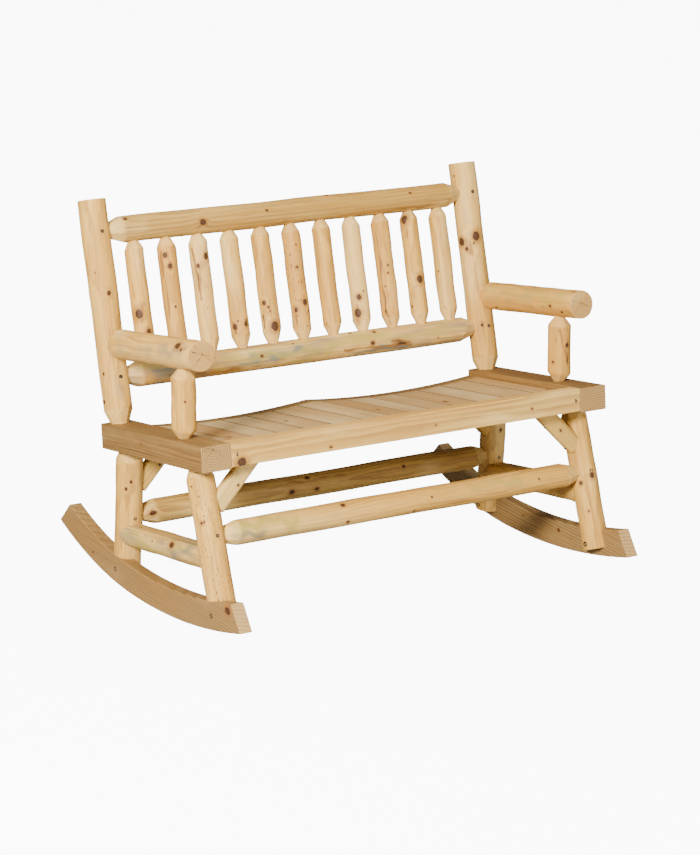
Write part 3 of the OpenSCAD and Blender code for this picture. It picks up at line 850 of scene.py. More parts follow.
@dataclass(frozen=True)
class Knot:
    """A branch through a piece: a line that starts at a point and runs in a direction."""

    start: tuple[float, float, float]
    way: tuple[float, float, float]
    radius: float

    def distance(self, at: np.ndarray) -> np.ndarray:
        """Returns each point's distance from the branch's line, in its radii; FAR behind its start.

        With v = at - start and the unit direction w, the distance is |v - (v.w) w| / radius, where the
        part along the grain counts for less, because knots lie stretched along it.

        Args:
            at: Points, shaped (..., 3).

        Returns:
            The distances.
        """
        away = at - np.array(self.start)
        way = np.array(self.way) / np.linalg.norm(self.way)
        run = away @ way
        square = (away - run[..., None] * way) * np.array([1, 1, 0.8])
        return np.where(run < 0, FAR, np.linalg.norm(square, axis=-1) / self.radius)


class StainKind(Enum):
    """The kinds of stain, as columns of the stains attribute."""

    BARK = 0
    BLUE = 1
    GREEN = 2


BARK, BLUE, GREEN = StainKind


@dataclass(frozen=True)
class Stain:
    """A long mark on a log: it runs from one place and angle to another, with soft edges."""

    s0: float
    angle0: float
    s1: float
    angle1: float
    width: float
    kind: StainKind
    strength: float = 1.0

    def amount(self, s: np.ndarray, phi: np.ndarray, radius: np.ndarray) -> np.ndarray:
        """Returns the stain's strength: exp(-d^2 / w^2), with d the distance from its swaying middle line.

        Args:
            s: Places along the log.
            phi: Angles round the log.
            radius: The log's radii there.

        Returns:
            The strength, 0 to 1 at each place.
        """
        share = np.clip((s - self.s0) / (self.s1 - self.s0), 0, 1)
        angle = self.angle0 + share * wrapped(self.angle1 - self.angle0)
        turn = wrapped(phi - angle)
        past = s - self.s0 - share * (self.s1 - self.s0)
        sway = self.width * (0.5 * np.sin(s / 17.0 + 5 * self.angle0) + 0.3 * np.sin(s / 7.3 + self.s0))
        width = self.width * (1.0 + 0.35 * np.sin(s / 11.0 + self.s1))
        return self.strength * np.exp(-((turn * radius + sway) ** 2 + past ** 2) / width ** 2)


@dataclass(frozen=True)
class Mark:
    """A long mark seen in the photograph, between two spots; the first one's size is its half width."""

    start: Spot
    end: Spot
    kind: StainKind = BARK
    strength: float = 1.0

    def on_log(self, place: Place, radius: float) -> Stain:
        """Returns the stain on a log.

        Args:
            place: The log's frame.
            radius: The log's radius.

        Returns:
            The stain between the two spots' places.
        """
        places = (*self.start.on_log(place, radius), *self.end.on_log(place, radius))
        return Stain(*places, self.start.size, self.kind, self.strength)


@dataclass(frozen=True)
class Cut:
    """The plane that ends a swept piece: s = at + over_a * a + over_b * b."""

    at: float
    over_a: float = 0.0
    over_b: float = 0.0

    def reach(self, a: np.ndarray, b: np.ndarray) -> np.ndarray:
        """Returns s on the plane over the points (a, b) of the section."""
        return self.at + self.over_a * a + self.over_b * b


# An outline takes places s and returns the section's points (a, b) there and their normals (na, nb);
# a warp takes (a, b, s) and returns points in the piece's frame
Outline = Callable[[np.ndarray], tuple[np.ndarray, np.ndarray, np.ndarray, np.ndarray]]
Warp = Callable[[np.ndarray, np.ndarray, np.ndarray], np.ndarray]


@dataclass
class Sweep:
    """A closed section carried along Z between two cuts, with rounded rims and closed ends.

    Row r lies at s = s0 + (s1 - s0) * base[r] + lift[r]; its section is moved in by inset[r] along its
    own normals and then drawn in by the factor scale[r].

    Attributes:
        place: The piece's frame.
        outline: The section.
        start: The cut at the lower end.
        end: The cut at the upper end.
        step: Distance between rows.
        bevel: Radius of the rims.
        pith: Where the tree's middle runs, in the section.
        knots: The branches.
        warp: Bends the finished form, if given.
        cut_zones: Length of the knife's cuts at each end.
        stains: The long marks.
        painted_gap_shade: Share of the painted shade on the narrow sides, standing in for the shadow in the
            gaps between pieces.
        seed: Sets the piece's place in the wood.
    """

    place: Place
    outline: Outline
    start: Cut
    end: Cut
    step: float = 3.2
    bevel: float = 1.6
    pith: tuple[float, float] = (0.0, 0.0)
    knots: tuple[Knot, ...] = ()
    warp: Warp | None = None
    cut_zones: tuple[float, float] = (0.0, 0.0)
    stains: tuple[Stain, ...] = ()
    painted_gap_shade: float = 0.0
    seed: int = 0

    def _rows(self) -> tuple[np.ndarray, ...]:
        """Returns base, lift, inset, scale and end mask of every row.

        A rim is a quarter circle: at a turn q the section is moved in by bevel (1 - sin q) and lies
        bevel (1 - cos q) from the end.

        Returns:
            The five arrays, with one value a row.
        """
        cap = np.array([0.05, 0.25, 0.45, 0.65, 0.82, 0.94])
        turn = np.radians([0.0, 30.0, 60.0, 90.0])
        count = max(3, round(abs(self.end.at - self.start.at) / self.step))
        t = np.linspace(0, 1, count)[1:-1]
        inset = np.r_[np.full(cap.size, self.bevel), self.bevel * (1 - np.sin(turn))]
        lift = np.r_[np.zeros(cap.size), self.bevel * (1 - np.cos(turn))]
        scale = np.r_[cap, np.ones(turn.size)]
        mask = np.r_[np.ones(cap.size), 1.0, 0.7, 0.2, 0.0]
        side = np.zeros(t.size)
        return (
            np.r_[np.zeros(scale.size), t, np.ones(scale.size)],
            np.r_[lift, self.bevel * (1 - 2 * t), -lift[::-1]],
            np.r_[inset, side, inset[::-1]],
            np.r_[scale, side + 1, scale[::-1]],
            np.r_[mask, side, mask[::-1]],
        )

    def _surface(self) -> tuple[np.ndarray, ...]:
        """Returns a, b, s and na of the section's points in every row, and the end mask of every row."""
        base, lift, inset, scale, mask = (row[:, None] for row in self._rows())
        middle = (self.start.at + self.end.at) / 2
        a0, b0, _, _ = self.outline(np.full((1, 1), middle))
        a, b = scale * a0, scale * b0
        s0, s1 = self.start.reach(a, b), self.end.reach(a, b)
        s = s0 + (s1 - s0) * base + lift
        a, b, na, nb = self.outline(s)
        return (a - na * inset) * scale, (b - nb * inset) * scale, s, na, mask

    def _grain(self, at: np.ndarray) -> tuple[np.ndarray, np.ndarray]:
        """Returns the wood's coordinates, whose rings bulge round the knots, and the knots' distance.

        The pith lies at x = y = 0, and (x, y) grow by 1 + swirl / rho, where the swirl is the sum of
        radius exp(-(distance / 2)^2) over the knots.

        Args:
            at: The surface's points.

        Returns:
            The coordinates and the distance from the nearest knot in its own radii.
        """
        knot = np.full(at.shape[:-1], FAR)
        swirl = np.zeros(knot.shape)
        for branch in self.knots:
            off = branch.distance(at)
            knot = np.minimum(knot, off)
            swirl += branch.radius * np.exp(-(off / 2.0) ** 2)
        grain = at.copy()
        grain[..., 0] -= self.pith[0]
        grain[..., 1] -= self.pith[1]
        rho = np.maximum(np.hypot(grain[..., 0], grain[..., 1]), 1e-6)
        grain[..., :2] *= (1 + swirl / rho)[..., None]
        grain[..., 2] += PIECE_SHIFT * (self.seed % PIECE_SHIFTS)
        return grain, knot

    def build(self, name: str) -> bpy.types.Object:
        """Returns the finished object.

        Args:
            name: The object's name.

        Returns:
            The object, with its grain, marks and stains.
        """
        a, b, s, na, mask = self._surface()
        shaped = np.stack([a, b, s], axis=-1) if self.warp is None else self.warp(a, b, s)
        grain, knot = self._grain(shaped)
        low, high = self.cut_zones
        cut = np.maximum(_fade(s - self.start.at, low), _fade(self.end.at - s, high))
        # Painted shade: the narrow sides, where the normal runs across, go below zero, so that the material
        # darkens them as if shaded in the gaps between pieces
        cut = cut - self.painted_gap_shade * np.minimum(1.6 * np.abs(na), 1.0)
        marks = np.stack([np.minimum(knot, FAR), np.broadcast_to(mask, a.shape), cut], axis=-1)
        radius = np.hypot(a, b)
        stains = np.zeros(marks.shape)
        for stain in self.stains:
            stains[..., stain.kind.value] += stain.amount(s, np.arctan2(b, a), radius)
        surface = (self.place.points(shaped), grain, marks, np.minimum(stains, 1.0))
        return _grid_object(name, *(values[None] for values in surface))


def _fade(distance: np.ndarray, zone: float) -> np.ndarray:
    """Returns 1 well inside a zone at a log's end and 0 beyond it, with a soft edge between."""
    return np.clip((zone - distance) / ZONE_EDGE, 0.0, 1.0) if zone > 0 else np.zeros(distance.shape)


def _grid_object(
    name: str, points: np.ndarray, grain: np.ndarray, marks: np.ndarray, stains: np.ndarray
) -> bpy.types.Object:
    """Returns an object made of closed grids of rows, whose first and last rows are filled.

    Args:
        name: The object's name.
        points: Row frame millimetres, shaped (solids, rows, columns, 3).
        grain: Wood coordinates in millimetres, same shape.
        marks: Knot distance, end mask, and knife mask less the painted gap shade, same shape.
        stains: Bark, blue and green stain, same shape.

    Returns:
        The object, linked to the scene.
    """
    solids, rows, cols, _ = points.shape
    index = np.arange(solids * rows * cols).reshape(solids, rows, cols)
    near, far = index[:, :-1], index[:, 1:]
    quads = np.stack([near, np.roll(near, -1, 2), np.roll(far, -1, 2), far], axis=-1).reshape(-1, 4)
    caps = np.concatenate([index[:, 0, ::-1], index[:, -1]])
    mesh = bpy.data.meshes.new(name)
    mesh.vertices.add(index.size)
    mesh.vertices.foreach_set("co", (points * MM).astype(np.float32).ravel())
    loops = np.r_[quads.ravel(), caps.ravel()]
    starts = np.r_[np.arange(len(quads)) * 4, quads.size + np.arange(len(caps)) * cols]
    mesh.loops.add(loops.size)
    mesh.loops.foreach_set("vertex_index", loops.astype(np.int32))
    mesh.polygons.add(starts.size)
    mesh.polygons.foreach_set("loop_start", starts.astype(np.int32))
    mesh.update(calc_edges=True)
    mesh.polygons.foreach_set("use_smooth", np.ones(starts.size, dtype=bool))
    for label, values, unit in (("grain", grain, MM), ("marks", marks, 1.0), ("stains", stains, 1.0)):
        layer = mesh.attributes.new(label, "FLOAT_VECTOR", "POINT")
        layer.data.foreach_set("vector", (values * unit).astype(np.float32).ravel())
    mesh.validate()
    made = bpy.data.objects.new(name, mesh)
    bpy.context.scene.collection.objects.link(made)
    return made


# Logs and boards


@dataclass(frozen=True)
class Taper:
    """A knife-cut taper at a log's end: its length, its neck, and the length hidden in the mate."""

    length: float
    neck: float
    hidden: float = HIDDEN

    def planes(
        self, away: np.ndarray, full: float, draw: np.random.Generator
    ) -> list[tuple[float, np.ndarray]]:
        """Returns the knife's planes round the log, as (angle, distance from the axis at each place).

        Args:
            away: Distance of each place from the mate's face, into the open.
            full: The log's radius.
            draw: The log's random numbers.

        Returns:
            The planes.
        """
        planes = []
        count = int(draw.integers(8, 11))
        first = draw.uniform(0, 2 * math.pi)
        for k in range(count):
            angle = first + 2 * math.pi * (k + draw.uniform(-0.16, 0.16)) / count
            rise = (full - self.neck / 2) / (self.length * draw.uniform(0.80, 1.15))
            plane = self.neck / 2 * draw.uniform(0.93, 1.0) + rise * away
            planes.append((angle, np.maximum(plane, self.neck / 2 * 0.9)))
        return planes


@dataclass(frozen=True)
class Log:
    """A peeled log along Z of its place: a slightly uneven cylinder, with knife-cut tapers.

    The radius is the least of the peeled surface and the knife's planes:
    r(s, phi) = min(R(s, phi), h_k(s) / cos(phi - phi_k)).
    """

    place: Place
    diameter: float
    start: float
    end: float
    start_taper: Taper | None = None
    end_taper: Taper | None = None
    columns: int = 72
    spots: tuple[Spot, ...] = ()
    marks: tuple[Mark, ...] = ()
    knots: tuple[tuple[float, float, float], ...] = ()
    wander: float = 1.2
    pith_off: float = 4.0
    seed: int = 1

    def _all_knots(self) -> tuple[tuple[float, float, float], ...]:
        """Returns the scattered knots and the photograph's, as (place along, angle, radius)."""
        seen = tuple((*spot.on_log(self.place, self.diameter / 2), spot.size) for spot in self.spots)
        return (*self.knots, *seen)

    def _peeled(self, s: np.ndarray, phi: np.ndarray, draw: np.random.Generator) -> np.ndarray:
        """Returns the radius of the peeled surface: slow waves round the log, and low swellings at knots.

        R = d / 2 - 0.3 w + the sum over n of size_n sin(n phi + p + 1.6 sin(rate_n s + q)), and the
        swelling min(1.2, 0.16 r) exp(-off^2) round each knot of radius r.

        Args:
            s: Places along the log.
            phi: Angles round it.
            draw: The log's random numbers.

        Returns:
            The radius at each place.
        """
        full = self.diameter / 2
        length = self.end - self.start
        r = np.full(np.broadcast(s, phi).shape, full - 0.3 * self.wander)
        for turns in (1, 2, 3, 5):
            rate = draw.uniform(0.6, 2.6) / length * 2 * math.pi
            size = self.wander * draw.uniform(0.25, 0.5) / turns ** 0.5
            phase = draw.uniform(0, 6.3)
            twist = np.sin(rate * s + draw.uniform(0, 6.3)) * 1.6
            r = r + size * np.sin(turns * phi + phase + twist)
        for s0, angle, radius in self._all_knots():
            off = np.hypot(wrapped(phi - angle) * full, (s - s0) * 0.7) / (radius * 2.2)
            r = r + min(1.2, radius * 0.16) * np.exp(-off ** 2)
        return r

    def _radius(self, s: np.ndarray, phi: np.ndarray) -> np.ndarray:
        """Returns the radius of the log, with the knife's facets.

        Args:
            s: Places along the log.
            phi: Angles round it.

        Returns:
            The radius at each place.
        """
        draw = np.random.default_rng(self.seed)
        r = self._peeled(s, phi, draw)
        for taper, origin, way in ((self.start_taper, self.start, 1.0), (self.end_taper, self.end, -1.0)):
            if taper is None:
                continue
            away = way * (s - origin) - taper.hidden
            for angle, plane in taper.planes(away, self.diameter / 2, draw):
                facing = np.cos(phi - angle)
                r = np.where(facing > 0.5, np.minimum(r, plane / np.maximum(facing, 0.5)), r)
        return r

    def _branches(self, lean: np.ndarray) -> tuple[Knot, ...]:
        """Returns the knots as branches that leave the pith.

        Args:
            lean: The branches' three slopes along the log, taken in turn.

        Returns:
            The branches.
        """
        branches = []
        for i, (s0, turn, radius) in enumerate(self._all_knots()):
            rise = float(lean[i % 3])
            start = (0, 0, s0 - rise * self.diameter / 2)
            branches.append(Knot(start, (math.cos(turn), math.sin(turn), rise), radius))
        return tuple(branches)

    def sweep(self) -> Sweep:
        """Returns the log as a swept solid."""
        phi = np.linspace(0, 2 * math.pi, self.columns, endpoint=False)[None, :]

        def outline(s: np.ndarray) -> tuple[np.ndarray, ...]:
            """Returns the section r (cos phi, sin phi) at places s, and its normals."""
            r = self._radius(s, phi)
            return r * np.cos(phi), r * np.sin(phi), np.cos(phi) + 0 * r, np.sin(phi) + 0 * r

        draw = np.random.default_rng(self.seed + 500)
        lean = draw.uniform(-0.25, 0.25, 3)
        tapers = (self.start_taper, self.end_taper)
        return Sweep(
            place=self.place,
            outline=outline,
            start=Cut(self.start),
            end=Cut(self.end),
            pith=tuple(draw.uniform(-self.pith_off, self.pith_off, 2)),
            knots=self._branches(lean),
            cut_zones=tuple(0.0 if taper is None else taper.length + taper.hidden for taper in tapers),
            stains=tuple(mark.on_log(self.place, self.diameter / 2) for mark in self.marks),
            seed=self.seed,
        )


def through(point: np.ndarray, way: tuple[float, float, float], radius: float) -> Knot:
    """Returns a knot whose branch comes out at a point of a board's face.

    Args:
        point: The point.
        way: The branch's direction there.
        radius: The branch's radius.

    Returns:
        The knot.
    """
    start = point - KNOT_DEPTH * np.array(way)
    return Knot(tuple(start), way, radius)


def seen_knots(spots: tuple[Spot, ...], place: Place, face: float, way: tuple[float, float, float]) -> tuple:
    """Returns the knots that the photograph shows in a board's side face.

    Args:
        spots: The knots' spots.
        place: The board's frame, whose X is square to the face.
        face: The face's place along X.
        way: The branches' direction.

    Returns:
        The knots.
    """
    return tuple(through(spot.on_plane(place, 0, face), way, spot.size) for spot in spots)


def random_knots(seed: int, start: float, end: float, count: int, small: float, large: float) -> tuple:
    """Returns knots scattered over a log.

    Args:
        seed: Sets the random numbers.
        start: Least place along the log.
        end: Greatest place along the log.
        count: Number of knots.
        small: Least radius.
        large: Greatest radius.

    Returns:
        The knots, as (place along, angle in radians, radius).
    """
    draw = np.random.default_rng(seed)
    ranges = ((start, end), (0, 2 * math.pi), (small, large))
    return tuple(tuple(float(draw.uniform(*limits)) for limits in ranges) for _ in range(count))


def cross_log(
    place: Place,
    half: float,
    diameter: float,
    seed: int,
    spots: tuple[Spot, ...],
    marks: tuple[Mark, ...],
    largest: float,
) -> Log:
    """Returns a log between two upright logs, with a tapered tenon at each end.

    Args:
        place: A frame at its middle, whose X points to the right.
        half: Half the clear width between the upright logs.
        diameter: Its diameter.
        seed: Sets its random numbers.
        spots: Its knots in the photograph.
        marks: Its long marks in the photograph.
        largest: Greatest radius of its scattered knots.

    Returns:
        The log.
    """
    taper = Taper(BENCH.rail_taper, BENCH.rail_neck)
    return Log(
        place=place.facing((1, 0, 0), (0, 0, 1)),
        diameter=diameter,
        start=-half - taper.hidden,
        end=half + taper.hidden,
        start_taper=taper,
        end_taper=taper,
        spots=spots,
        marks=marks,
        knots=random_knots(seed, -half + 60, half - 60, 4, 1.5, largest),
        wander=1.5,
        pith_off=13.0,
        seed=seed,
    )


def box_outline(width: float, height: float, round_mm: float, step: float) -> tuple[np.ndarray, ...]:
    """Returns a rounded rectangle, anticlockwise and centred.

    Args:
        width: Its size along a.
        height: Its size along b.
        round_mm: Radius of its corners.
        step: Distance between points on its straight sides, at least.

    Returns:
        Its points a and b, and their normals' parts along a and b.
    """
    hw, hh = width / 2, height / 2
    turn = np.radians([0.0, 22.5, 45.0, 67.5, 90.0])
    a, b, na, nb = [], [], [], []
    for quarter, (ca, cb, run) in enumerate(
        ((hw, hh, width), (-hw, hh, height), (-hw, -hh, width), (hw, -hh, height))
    ):
        angle = turn + quarter * math.pi / 2
        a.append(ca - math.copysign(round_mm, ca) + round_mm * np.cos(angle))
        b.append(cb - math.copysign(round_mm, cb) + round_mm * np.sin(angle))
        na.append(np.cos(angle))
        nb.append(np.sin(angle))
        count = max(1, int((run - 2 * round_mm) / step))
        t = np.arange(1, count) / count
        way = (-math.sin(angle[-1]), math.cos(angle[-1]))
        a.append(a[-1][-1] + way[0] * t * (run - 2 * round_mm))
        b.append(b[-1][-1] + way[1] * t * (run - 2 * round_mm))
        na.append(np.full(t.size, math.cos(angle[-1])))
        nb.append(np.full(t.size, math.sin(angle[-1])))
    return tuple(np.concatenate(v)[None, :] for v in (a, b, na, nb))


@dataclass(frozen=True)
class Board:
    """A sawn bar of rounded rectangular section along Z of its place.
    """

    place: Place
    width: float
    height: float
    start: Cut
    end: Cut
    round_mm: float = 2.0
    pith: tuple[float, float] = (20.0, -90.0)
    warp: Warp | None = None
    knots: tuple[Knot, ...] = ()
    # Share of painted shade on the narrow sides, standing in for the shadow in the gaps between pieces
    painted_gap_shade: float = 0.0
    step: float = 4.0
    across: float = 4.0
    seed: int = 1

    def sweep(self) -> Sweep:
        """Returns the bar as a swept solid."""
        fixed = box_outline(self.width, self.height, self.round_mm, self.across)

        def outline(s: np.ndarray) -> tuple[np.ndarray, ...]:
            """Returns the same section at every place s."""
            return tuple(v + 0 * s for v in fixed)

        return Sweep(
            place=self.place,
            outline=outline,
            start=self.start,
            end=self.end,
            step=self.step,
            bevel=min(1.2, self.round_mm),
            pith=self.pith,
            knots=self.knots,
            warp=self.warp,
            painted_gap_shade=self.painted_gap_shade,
            seed=self.seed,
        )


def dress(piece: bpy.types.Object, finish: Finish, slot: str, *nodes: str) -> None:
    """Gives a piece its finish and its place in the frame.

    Args:
        piece: The finished object.
        finish: Its finish.
        slot: Not used.
        nodes: The solid nodes it stands for.
    """
    piece.data.materials.clear()
    piece.data.materials.append(finish.value.material())
    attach(piece, "root")
    if nodes:
        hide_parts(*nodes)
    LOG.info("%s: %d faces, %s", piece.name, len(piece.data.polygons), finish.value.name)


# Sub-assemblies


@dataclass
class Part:
    """A sub-assembly that builds its pieces and then dresses them.

    Attributes:
        pieces: The built objects, each with its finish, its slot and the nodes it stands for.
    """

    pieces: list[tuple[bpy.types.Object, Finish, str, tuple[str, ...]]] = field(default_factory=list)

    def add(self, sweep: Sweep, finish: Finish, slot: str, node: str) -> None:
        """Builds one piece that stands for one node.

        Args:
            sweep: The piece's form.
            finish: Its finish.
            slot: The record's material slot.
            node: The solid node it stands for.
        """
        self.pieces.append((sweep.build(f"{node}_looks"), finish, slot, (node,)))

    def build(self) -> None:
        """Makes the pieces' meshes."""
        raise NotImplementedError

    def dress(self) -> None:
        """Gives every piece its finish and its place in the frame."""
        for piece, finish, slot, nodes in self.pieces:
            dress(piece, finish, slot, *nodes)


@dataclass
class Rockers(Part):
    """The two sawn rockers: an arc ahead of the resting point and a tighter one behind it."""

    end_cut: float = 20.0
    rounding: float = 2.5
    spots: ClassVar[dict[Side, tuple[Spot, ...]]] = {
        Side.LEFT: (Spot(227.5, 611, 7.5), Spot(93, 552, 2.5)),
        Side.RIGHT: (Spot(558.5, 530, 4.0), Spot(523, 515, 2.0)),
    }

    @staticmethod
    def _bent(a: np.ndarray, b: np.ndarray, s: np.ndarray) -> np.ndarray:
        """Bends a straight bar along the two arcs: (a, r - i cos(s / r), i sin(s / r)).

        Args:
            a: Place across the thickness.
            b: Height off the bar's middle, so that i = r - b - h / 2.
            s: Run along the arcs, from the resting point.

        Returns:
            The points, in the rocker's frame.
        """
        r = np.where(s < 0, BENCH.rocker_front_r, BENCH.rocker_back_r)
        inner = r - b - BENCH.rocker_h / 2
        return np.stack([a, r - inner * np.cos(s / r), inner * np.sin(s / r)], axis=-1)

    def build(self) -> None:
        """Makes both rockers."""
        h, t = BENCH.rocker_h, BENCH.rocker_t
        slope = math.tan(math.radians(self.end_cut))
        front = BENCH.rocker_front_r * math.asin(BENCH.rocker_front_l / BENCH.rocker_front_r)
        back = BENCH.rocker_back_r * math.asin(BENCH.rocker_back_l / BENCH.rocker_back_r)
        for side in Side:
            middle = side.value * (BENCH.leg_x + t / 2)
            place = Place().moved(middle, BENCH.rest_y, 0).facing((0, 1, 0), (0, 0, 1))
            board = Board(
                place=place,
                width=t,
                height=h,
                start=Cut(-front + slope * h / 2, over_b=slope),
                end=Cut(back - slope * h / 2, over_b=-slope),
                round_mm=self.rounding,
                pith=(24.0, -46.0 + 10.0 * side.value),
                warp=self._bent,
                knots=seen_knots(self.spots[side], place, t / 2, (1.0, 0.15, 0.1)),
                seed=11 + side.value,
            )
            self.add(board.sweep(), Finish.ROCKER, "sawn_pale", f"rocker_{side.label}")


@dataclass
class Legs(Part):
    """The four log legs, whose outer halves sit in the rockers."""

    foot_clear: float = 18.0
    spots: ClassVar[dict[tuple[Side, bool], tuple[Spot, ...]]] = {
        (Side.LEFT, True): (Spot(204, 522, 2.0),),
        (Side.LEFT, False): (Spot(126, 489, 3.0), Spot(133, 540, 2.2)),
        (Side.RIGHT, True): (Spot(592, 475, 5.0), Spot(581, 483, 3.5), Spot(589, 511, 2.0)),
        (Side.RIGHT, False): (Spot(485, 432, 4.5), Spot(501, 430, 3.0)),
    }
    marks: ClassVar[dict[tuple[Side, bool], tuple[Mark, ...]]] = {
        (Side.LEFT, False): (Mark(Spot(121, 536, 9.0), Spot(133, 558), BLUE),),
    }

    def _length(self, place: Place, radius: float) -> float:
        """Returns how far down its line a leg ends, over the rocker's underside.

        The leg's line o + t w meets the circle of radius r - clear round the arc's middle.

        Args:
            place: The leg's frame.
            radius: The radius of the rocker's arc there.

        Returns:
            The distance t.
        """
        to = place.origin[1:] - np.array([BENCH.rest_y, radius])
        way = place.axes[1:, 2]
        b = to @ way
        return -b + math.sqrt(b * b - to @ to + (radius - self.foot_clear) ** 2)

    def build(self) -> None:
        """Makes the legs."""
        for side in Side:
            for front in (True, False):
                place = BENCH.leg_place(side, front)
                seed = 20 + side.value + (5 if front else 0)
                end = self._length(place, BENCH.rocker_front_r if front else BENCH.rocker_back_r)
                log = Log(
                    place=place,
                    diameter=BENCH.leg_d,
                    start=-HIDDEN,
                    end=end,
                    start_taper=Taper(BENCH.leg_taper, BENCH.leg_neck),
                    spots=self.spots[side, front],
                    marks=self.marks.get((side, front), ()),
                    knots=random_knots(seed, 60, end - 90, 2, 1.5, 3.5),
                    seed=seed,
                )
                finish = Finish.LOG_SPECKLED if front and side is Side.LEFT else Finish.LOG
                self.add(log.sweep(), finish, "log", f"{'front' if front else 'back'}_leg_{side.label}")


@dataclass
class Stretchers(Part):
    """The front, back and side stretchers."""

    side_d: float = 61.0
    side_flat: float = 7.0
    side_gap: float = 10.0
    front_spots: ClassVar[tuple[Spot, ...]] = (
        Spot(343, 505, 4.0),
        Spot(348, 522, 3.0),
        Spot(432, 497, 2.0),
        Spot(539, 479, 2.0),
    )
    front_marks: ClassVar[tuple[Mark, ...]] = (
        Mark(Spot(238, 525, 16.0), Spot(296, 519), GREEN),
        Mark(Spot(236, 537, 10.0), Spot(262, 533), BLUE),
        Mark(Spot(470, 486, 10.0), Spot(520, 480), GREEN),
    )
    back_spots: ClassVar[tuple[Spot, ...]] = (
        Spot(154, 513, 5.0),
        Spot(292, 492, 4.5),
        Spot(317, 489, 3.5),
        Spot(308, 478, 2.5),
        Spot(210, 503, 2.5),
    )
    back_marks: ClassVar[tuple[Mark, ...]] = (
        Mark(Spot(262, 488, 5.0), Spot(345, 475), BARK, 0.36),
        Mark(Spot(163, 520, 3.0), Spot(205, 513), BARK, 0.5),
    )
    side_spots: ClassVar[dict[Side, tuple[Spot, ...]]] = {
        Side.LEFT: (Spot(172, 545, 6.0), Spot(152, 541, 2.0)),
        Side.RIGHT: (Spot(540, 486, 3.0),),
    }
    side_marks: ClassVar[dict[Side, tuple[Mark, ...]]] = {
        Side.LEFT: (Mark(Spot(146, 543, 12.0), Spot(195, 556), BLUE),),
    }

    def build(self) -> None:
        """Makes the stretchers."""
        half = BENCH.leg_x - BENCH.leg_d / 2
        thick = BENCH.stretcher_d
        drop = BENCH.front_stretcher_share * BENCH.seat_height
        place = BENCH.seat.moved(0, BENCH.front_leg_y(drop), -drop)
        log = cross_log(place, half, thick, 41, self.front_spots, self.front_marks, 3.5)
        self.add(log.sweep(), Finish.LOG, "log", "front_stretcher")
        drop = BENCH.back_stretcher_share * BENCH.seat_height
        place = BENCH.seat.moved(0, BENCH.back_leg_y(drop), -drop)
        log = cross_log(place, half, thick, 42, self.back_spots, self.back_marks, 3.5)
        self.add(log.sweep(), Finish.TAN_LOG, "log", "back_stretcher")
        for side in Side:
            self._side(side)

    def _side(self, side: Side) -> None:
        """Makes one side stretcher: a log whose top is sawn flat.

        Args:
            side: Its side of the bench.
        """
        drop = BENCH.seat_height - BENCH.side_stretcher_z
        y0, y1 = BENCH.front_leg_y(drop), BENCH.back_leg_y(drop)
        log = Log(
            place=BENCH.seat.moved(side.value * BENCH.leg_x, y0, -drop).facing((0, 1, 0), (0, 0, 1)),
            diameter=self.side_d,
            start=self.side_gap,
            end=y1 - y0 - self.side_gap,
            spots=self.side_spots[side],
            marks=self.side_marks.get(side, ()),
            knots=random_knots(51 + side.value, 60, y1 - y0 - 60, 3, 1.5, 3.5),
            seed=51 + side.value,
        )
        sweep = log.sweep()
        top = self.side_d / 2 - self.side_flat

        def flat(a: np.ndarray, b: np.ndarray, s: np.ndarray) -> np.ndarray:
            """Returns the points with the top sawn off, slightly wavy."""
            return np.stack([a, np.minimum(b, top + 0.4 * np.sin(s / 70.0)), s], axis=-1)

        sweep.warp = flat
        finish = Finish.LOG_STAINED if side is Side.LEFT else Finish.LOG
        self.add(sweep, finish, "log", f"side_stretcher_{side.label}")


@dataclass
class Braces(Part):
    """The four split-log braces at 45 degrees between legs and rails."""

    width: float = 44.0
    thickness: float = 27.0
    clear: float = 18.0
    rounding: float = 9.0
    top_over: float = 1.0
    foot_short: float = 28.0

    def build(self) -> None:
        """Makes the braces."""
        c = math.sqrt(0.5)
        foot_drop = BENCH.front_stretcher_share * BENCH.seat_height - BENCH.stretcher_d / 2 - self.clear
        reach = foot_drop - BENCH.side_rail_h - self.width * c + BENCH.leg_d / 2
        for side in Side:
            for front in (True, False):
                sign = -1.0 if front else 1.0
                y = sign * (BENCH.seat_depth / 2 - BENCH.end_rail_t - BENCH.ledger_w / 2)
                x = side.value * (BENCH.leg_x - reach)
                way = (side.value * c, 0.0, -c)
                place = BENCH.seat.moved(x, y, -BENCH.side_rail_h).facing(way, (0.0, 1.0, 0.0))
                across = np.array(place.axes[:, 0]) @ BENCH.seat.axes
                slope = -across[2] / way[2]
                board = Board(
                    place=place,
                    width=self.width,
                    height=self.thickness,
                    start=Cut(-self.top_over, over_a=slope),
                    end=Cut(reach / c - self.foot_short),
                    round_mm=self.rounding,
                    pith=(3.0, -14.0 * sign),
                    step=3.0,
                    across=3.0,
                    knots=(through(np.array([6.0 * side.value, 13.0, reach * 0.55]), (0.1, 1.0, 0.1), 2.5),),
                    seed=60 + side.value + int(front) * 3,
                )
                name = f"{'front' if front else 'back'}_brace_{side.label}"
                self.add(board.sweep(), Finish.SPLIT, "split_log", name)


